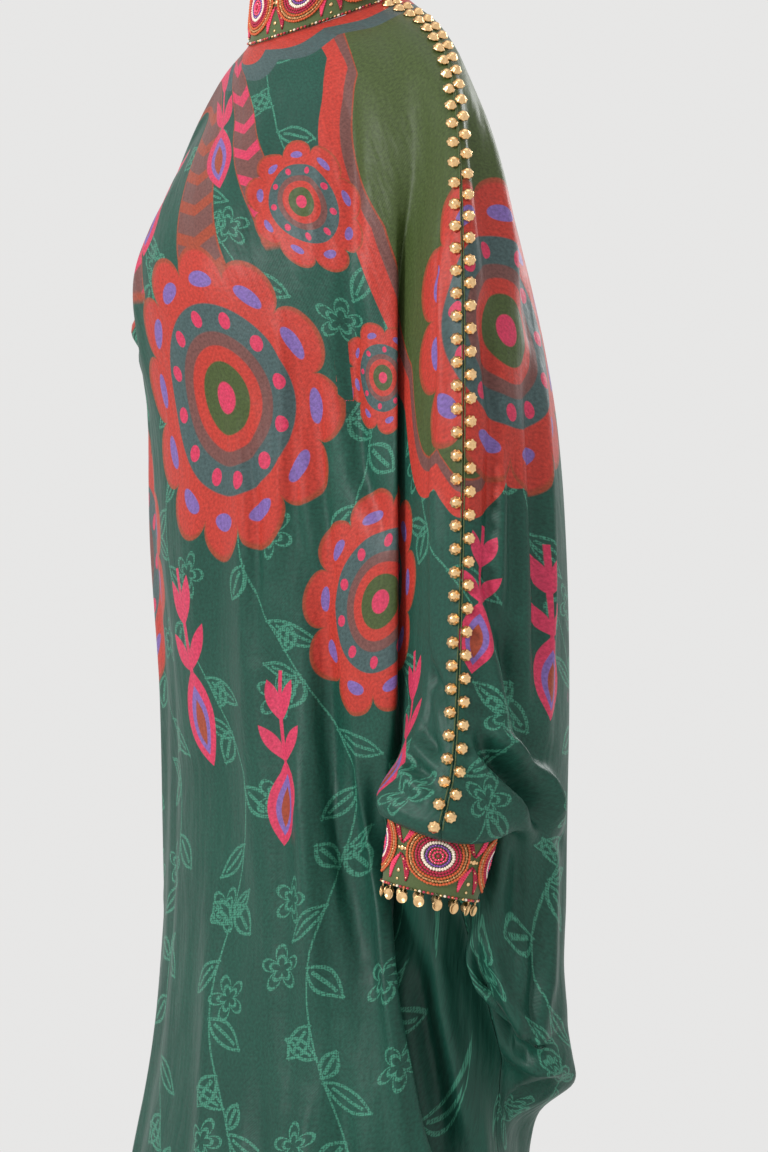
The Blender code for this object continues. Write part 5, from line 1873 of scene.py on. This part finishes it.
def dome_row(pile, line):
    """Domes at an even pitch beside the seam."""
    points, normals, asides = zip(*line)
    places = resample(points, STUD_PITCH / 2, STUD_START - STUD_PITCH / 2)
    for order, (i, share) in enumerate(places):
        if order % 2 == 0:
            continue
        normal = normals[i].lerp(normals[i + 1], share).normalized()
        aside = asides[i].lerp(asides[i + 1], share)
        aside = (aside - normal * aside.dot(normal)).normalized()
        centre = points[i].lerp(points[i + 1], share) + normal * TAPE_LIFT
        other = normal.cross(aside)
        turn = shaky(order, points[i].x * 900) * DOME_TURN
        x_axis = aside * math.cos(turn) + other * math.sin(turn)
        y_axis = other * math.cos(turn) - aside * math.sin(turn)
        pile.add(centre, x_axis * STUD_RADIUS, y_axis * STUD_RADIUS, normal * STUD_HEIGHT, "gold")


def tube_mesh(name, points, radius):
    """Thin tube along points."""
    curve = bpy.data.curves.new(name, "CURVE")
    curve.dimensions = "3D"
    curve.bevel_depth = radius
    curve.bevel_resolution = 1
    curve.use_fill_caps = True
    line = curve.splines.new("POLY")
    line.points.add(len(points) - 1)
    for place, point in zip(line.points, points):
        place.co = (*point, 1.0)
    holder = bpy.data.objects.new(name, curve)
    bpy.context.scene.collection.objects.link(holder)
    graph = bpy.context.evaluated_depsgraph_get()
    data = bpy.data.meshes.new_from_object(holder.evaluated_get(graph))
    bpy.data.objects.remove(holder)
    bpy.data.curves.remove(curve)
    data.name = name
    data.shade_smooth()
    return data


def hang_coins(coins, beads, length):
    """Coins and drop beads along the cuff's foot."""
    for n in range(COINS):
        place = length * (n + 0.5) / COINS
        centre, around, upward, outward = band_frame(cuff_spot, place, -COIN_DROP, -DROP_INSET)
        tilt = (shaky(n, 5) - 0.5) * COIN_TILT
        side = around * math.cos(tilt) + outward * math.sin(tilt)
        face = side.cross(upward).normalized()
        coins.add(centre, side * COIN_RADIUS, upward * COIN_RADIUS, face * COIN_THICKNESS, "gold")
        for k in range(2):
            high = cuff_spot(place, -DROP_INSET - DROP_PITCH * k, -DROP_INSET)
            axes = [axis * size for axis, size in zip((around, upward, outward), DROP_BEAD)]
            beads.add(high, *axes, "gold")


# The two bands: name, point on its face, length around, height, rosettes, shift of the first one
# in pitches, fine steps around, wall
BANDS = (
    ("collar", collar_spot, math.tau * COLLAR_RADIUS, COLLAR_HEIGHT,
     COLLAR_ROSETTES, 0.5, COLLAR_FINE_STEPS, COLLAR_WALL),
    ("cuff", cuff_spot, math.tau * (CUFF_HALF_WIDTH + CUFF_HALF_DEPTH) / 2, CUFF_HEIGHT,
     CUFF_ROSETTES, 0.0, CUFF_FINE_STEPS, CUFF_WALL),
)


def trim(name, looks, spot, length, height, count, shift):
    """Embroidery of a band, as one piece of each kind of bead, and the cuff's coins."""
    piles = {kind: Pile(ball) for kind in looks}
    places = [rosette_row(length, height, count, turn) for turn in (shift, 0.5 - shift)]
    embroider(piles, spot, length, height, *places)
    if name == "cuff":
        coins = Pile(revolved(COIN_RINGS, COIN_SIDES))
        hang_coins(coins, piles["metal"], length)
        add_piece("cuff_coins", coins.mesh("cuff_coins"), looks["metal"], "brass")
    for kind, look in looks.items():
        title = f"{name}_{kind}"
        add_piece(title, piles[kind].mesh(title), look, "brass" if kind == "metal" else "braid")


def seam_trim(name, side, cloth, gold, cord):
    """Row of domes and piping beside the over-arm seam, on one panel."""
    line = seam_rows(cloth, side)
    domes = Pile(revolved(DOME_RINGS, DOME_SIDES, DOME_LOBES, DOME_FLUTE))
    dome_row(domes, line)
    title = f"stud_row_{name}"
    add_piece(title, domes.mesh(title), gold, "brass", f"studs_{name}")
    beside = (slice(len(line)), cloth.seam + side)
    edge = [tuple(Vector(p) + Vector(n) * PIPING_LIFT)
            for p, n in zip(cloth.points[beside], cloth.facing[beside])]
    title = f"seam_piping_{name}"
    add_piece(title, tube_mesh(title, edge, PIPING_RADIUS), cord, "satin")


# Camera at the photograph's place: a narrow view from the wearer's left, level, cropped
PHOTO_WIDTH = 768
PHOTO_HEIGHT = 1152
CAMERA_DISTANCE = 3.0
CAMERA_LENS_PIXELS = 3658.0
CAMERA_AFT = 0.048
CAMERA_HEIGHT = -0.456
SENSOR = 36.0
# Floor and surroundings
FLOOR_HEIGHT = -1.500
FLOOR_RADIUS = 3.3
FLOOR_TONES = ((0.74, 0.74, 0.735), (0.80, 0.80, 0.795))
WORLD_TONE = (0.800, 0.796, 0.790, 1.0)
# Lights: name, place in the sleeve's plan frame, power, size
LIGHTS = (
    ("key", (-2.4, 2.2, 0.9), 74.0, 0.8),
    ("fill", (2.6, 1.6, 0.2), 3.0, 2.2),
    ("top", (0.2, 0.6, 2.4), 12.0, 1.8),
    ("rear", (2.2, -2.4, 1.0), 40.0, 1.2),
)
LIGHT_TARGET = Vector((0.05, 0.0, -0.5))


def set_camera():
    """Level camera that looks along the sleeve's plan, out to in."""
    camera = bpy.data.cameras.new("camera")
    camera.sensor_fit = "VERTICAL"
    camera.sensor_height = SENSOR
    camera.sensor_width = SENSOR * PHOTO_WIDTH / PHOTO_HEIGHT
    camera.lens = SENSOR * CAMERA_LENS_PIXELS / PHOTO_HEIGHT
    holder = bpy.data.objects.new("camera", camera)
    holder.location = plan(CAMERA_AFT, CAMERA_DISTANCE, CAMERA_HEIGHT)
    holder.rotation_euler = OUT.to_track_quat("Z", "Y").to_euler()
    bpy.context.scene.collection.objects.link(holder)
    bpy.context.scene.camera = holder


def add_light(name, place, power, size):
    """Soft square light aimed at the dress."""
    lamp = bpy.data.lights.new(name, "AREA")
    lamp.energy = power
    lamp.size = size
    holder = bpy.data.objects.new(name, lamp)
    holder.location = place
    holder.rotation_euler = (place - LIGHT_TARGET).to_track_quat("Z", "Y").to_euler()
    bpy.context.scene.collection.objects.link(holder)


def set_stage():
    """Pale floor, pale surroundings and soft studio light."""
    mesh = bmesh.new()
    bmesh.ops.create_circle(mesh, cap_ends=True, segments=96, radius=FLOOR_RADIUS)
    bmesh.ops.translate(mesh, verts=mesh.verts, vec=(0, 0, FLOOR_HEIGHT))
    data = bpy.data.meshes.new("floor")
    mesh.to_mesh(data)
    mesh.free()
    nodes = Nodes("pale_floor")
    tone = nodes.mix(nodes.noise(nodes.place(), 3.0), *FLOOR_TONES)
    nodes.set(Base_Color=tone, Roughness=0.9)
    data.materials.append(nodes.material)
    floor = bpy.data.objects.new("floor", data)
    bpy.context.scene.collection.objects.link(floor)

    world = bpy.data.worlds.new("studio")
    world.use_nodes = True
    background = world.node_tree.nodes["Background"]
    background.inputs["Color"].default_value = WORLD_TONE
    background.inputs["Strength"].default_value = 1.0
    bpy.context.scene.world = world
    bpy.context.scene.view_settings.view_transform = "Standard"
    for name, place, power, size in LIGHTS:
        add_light(name, plan(*place), power, size)


def main():
    """The whole scene: camera, stage, panels, bands, embroidery, coins and studs."""
    set_camera()
    set_stage()
    look = satin()
    olive = braid_cloth()
    gold = gold_metal()
    thread = tinted("thread", 0.55, scale=1400.0)
    glass = tinted("glass_bead", 0.22, coat=0.6)

    cloth = creased()
    front = cloth_shell("front_panel", cloth, 0, cloth.seam, look)
    back = cloth_shell("back_panel", cloth, cloth.seam, cloth.columns, look)
    for name, *sizes in BANDS:
        band(name, olive, *sizes)
    for name, *sizes, _, _ in BANDS:
        trim(name, {"thread": thread, "glass": glass, "metal": gold}, *sizes)
    for name, side in (("front", -1), ("back", 1)):
        seam_trim(name, side, cloth, gold, olive)


main()
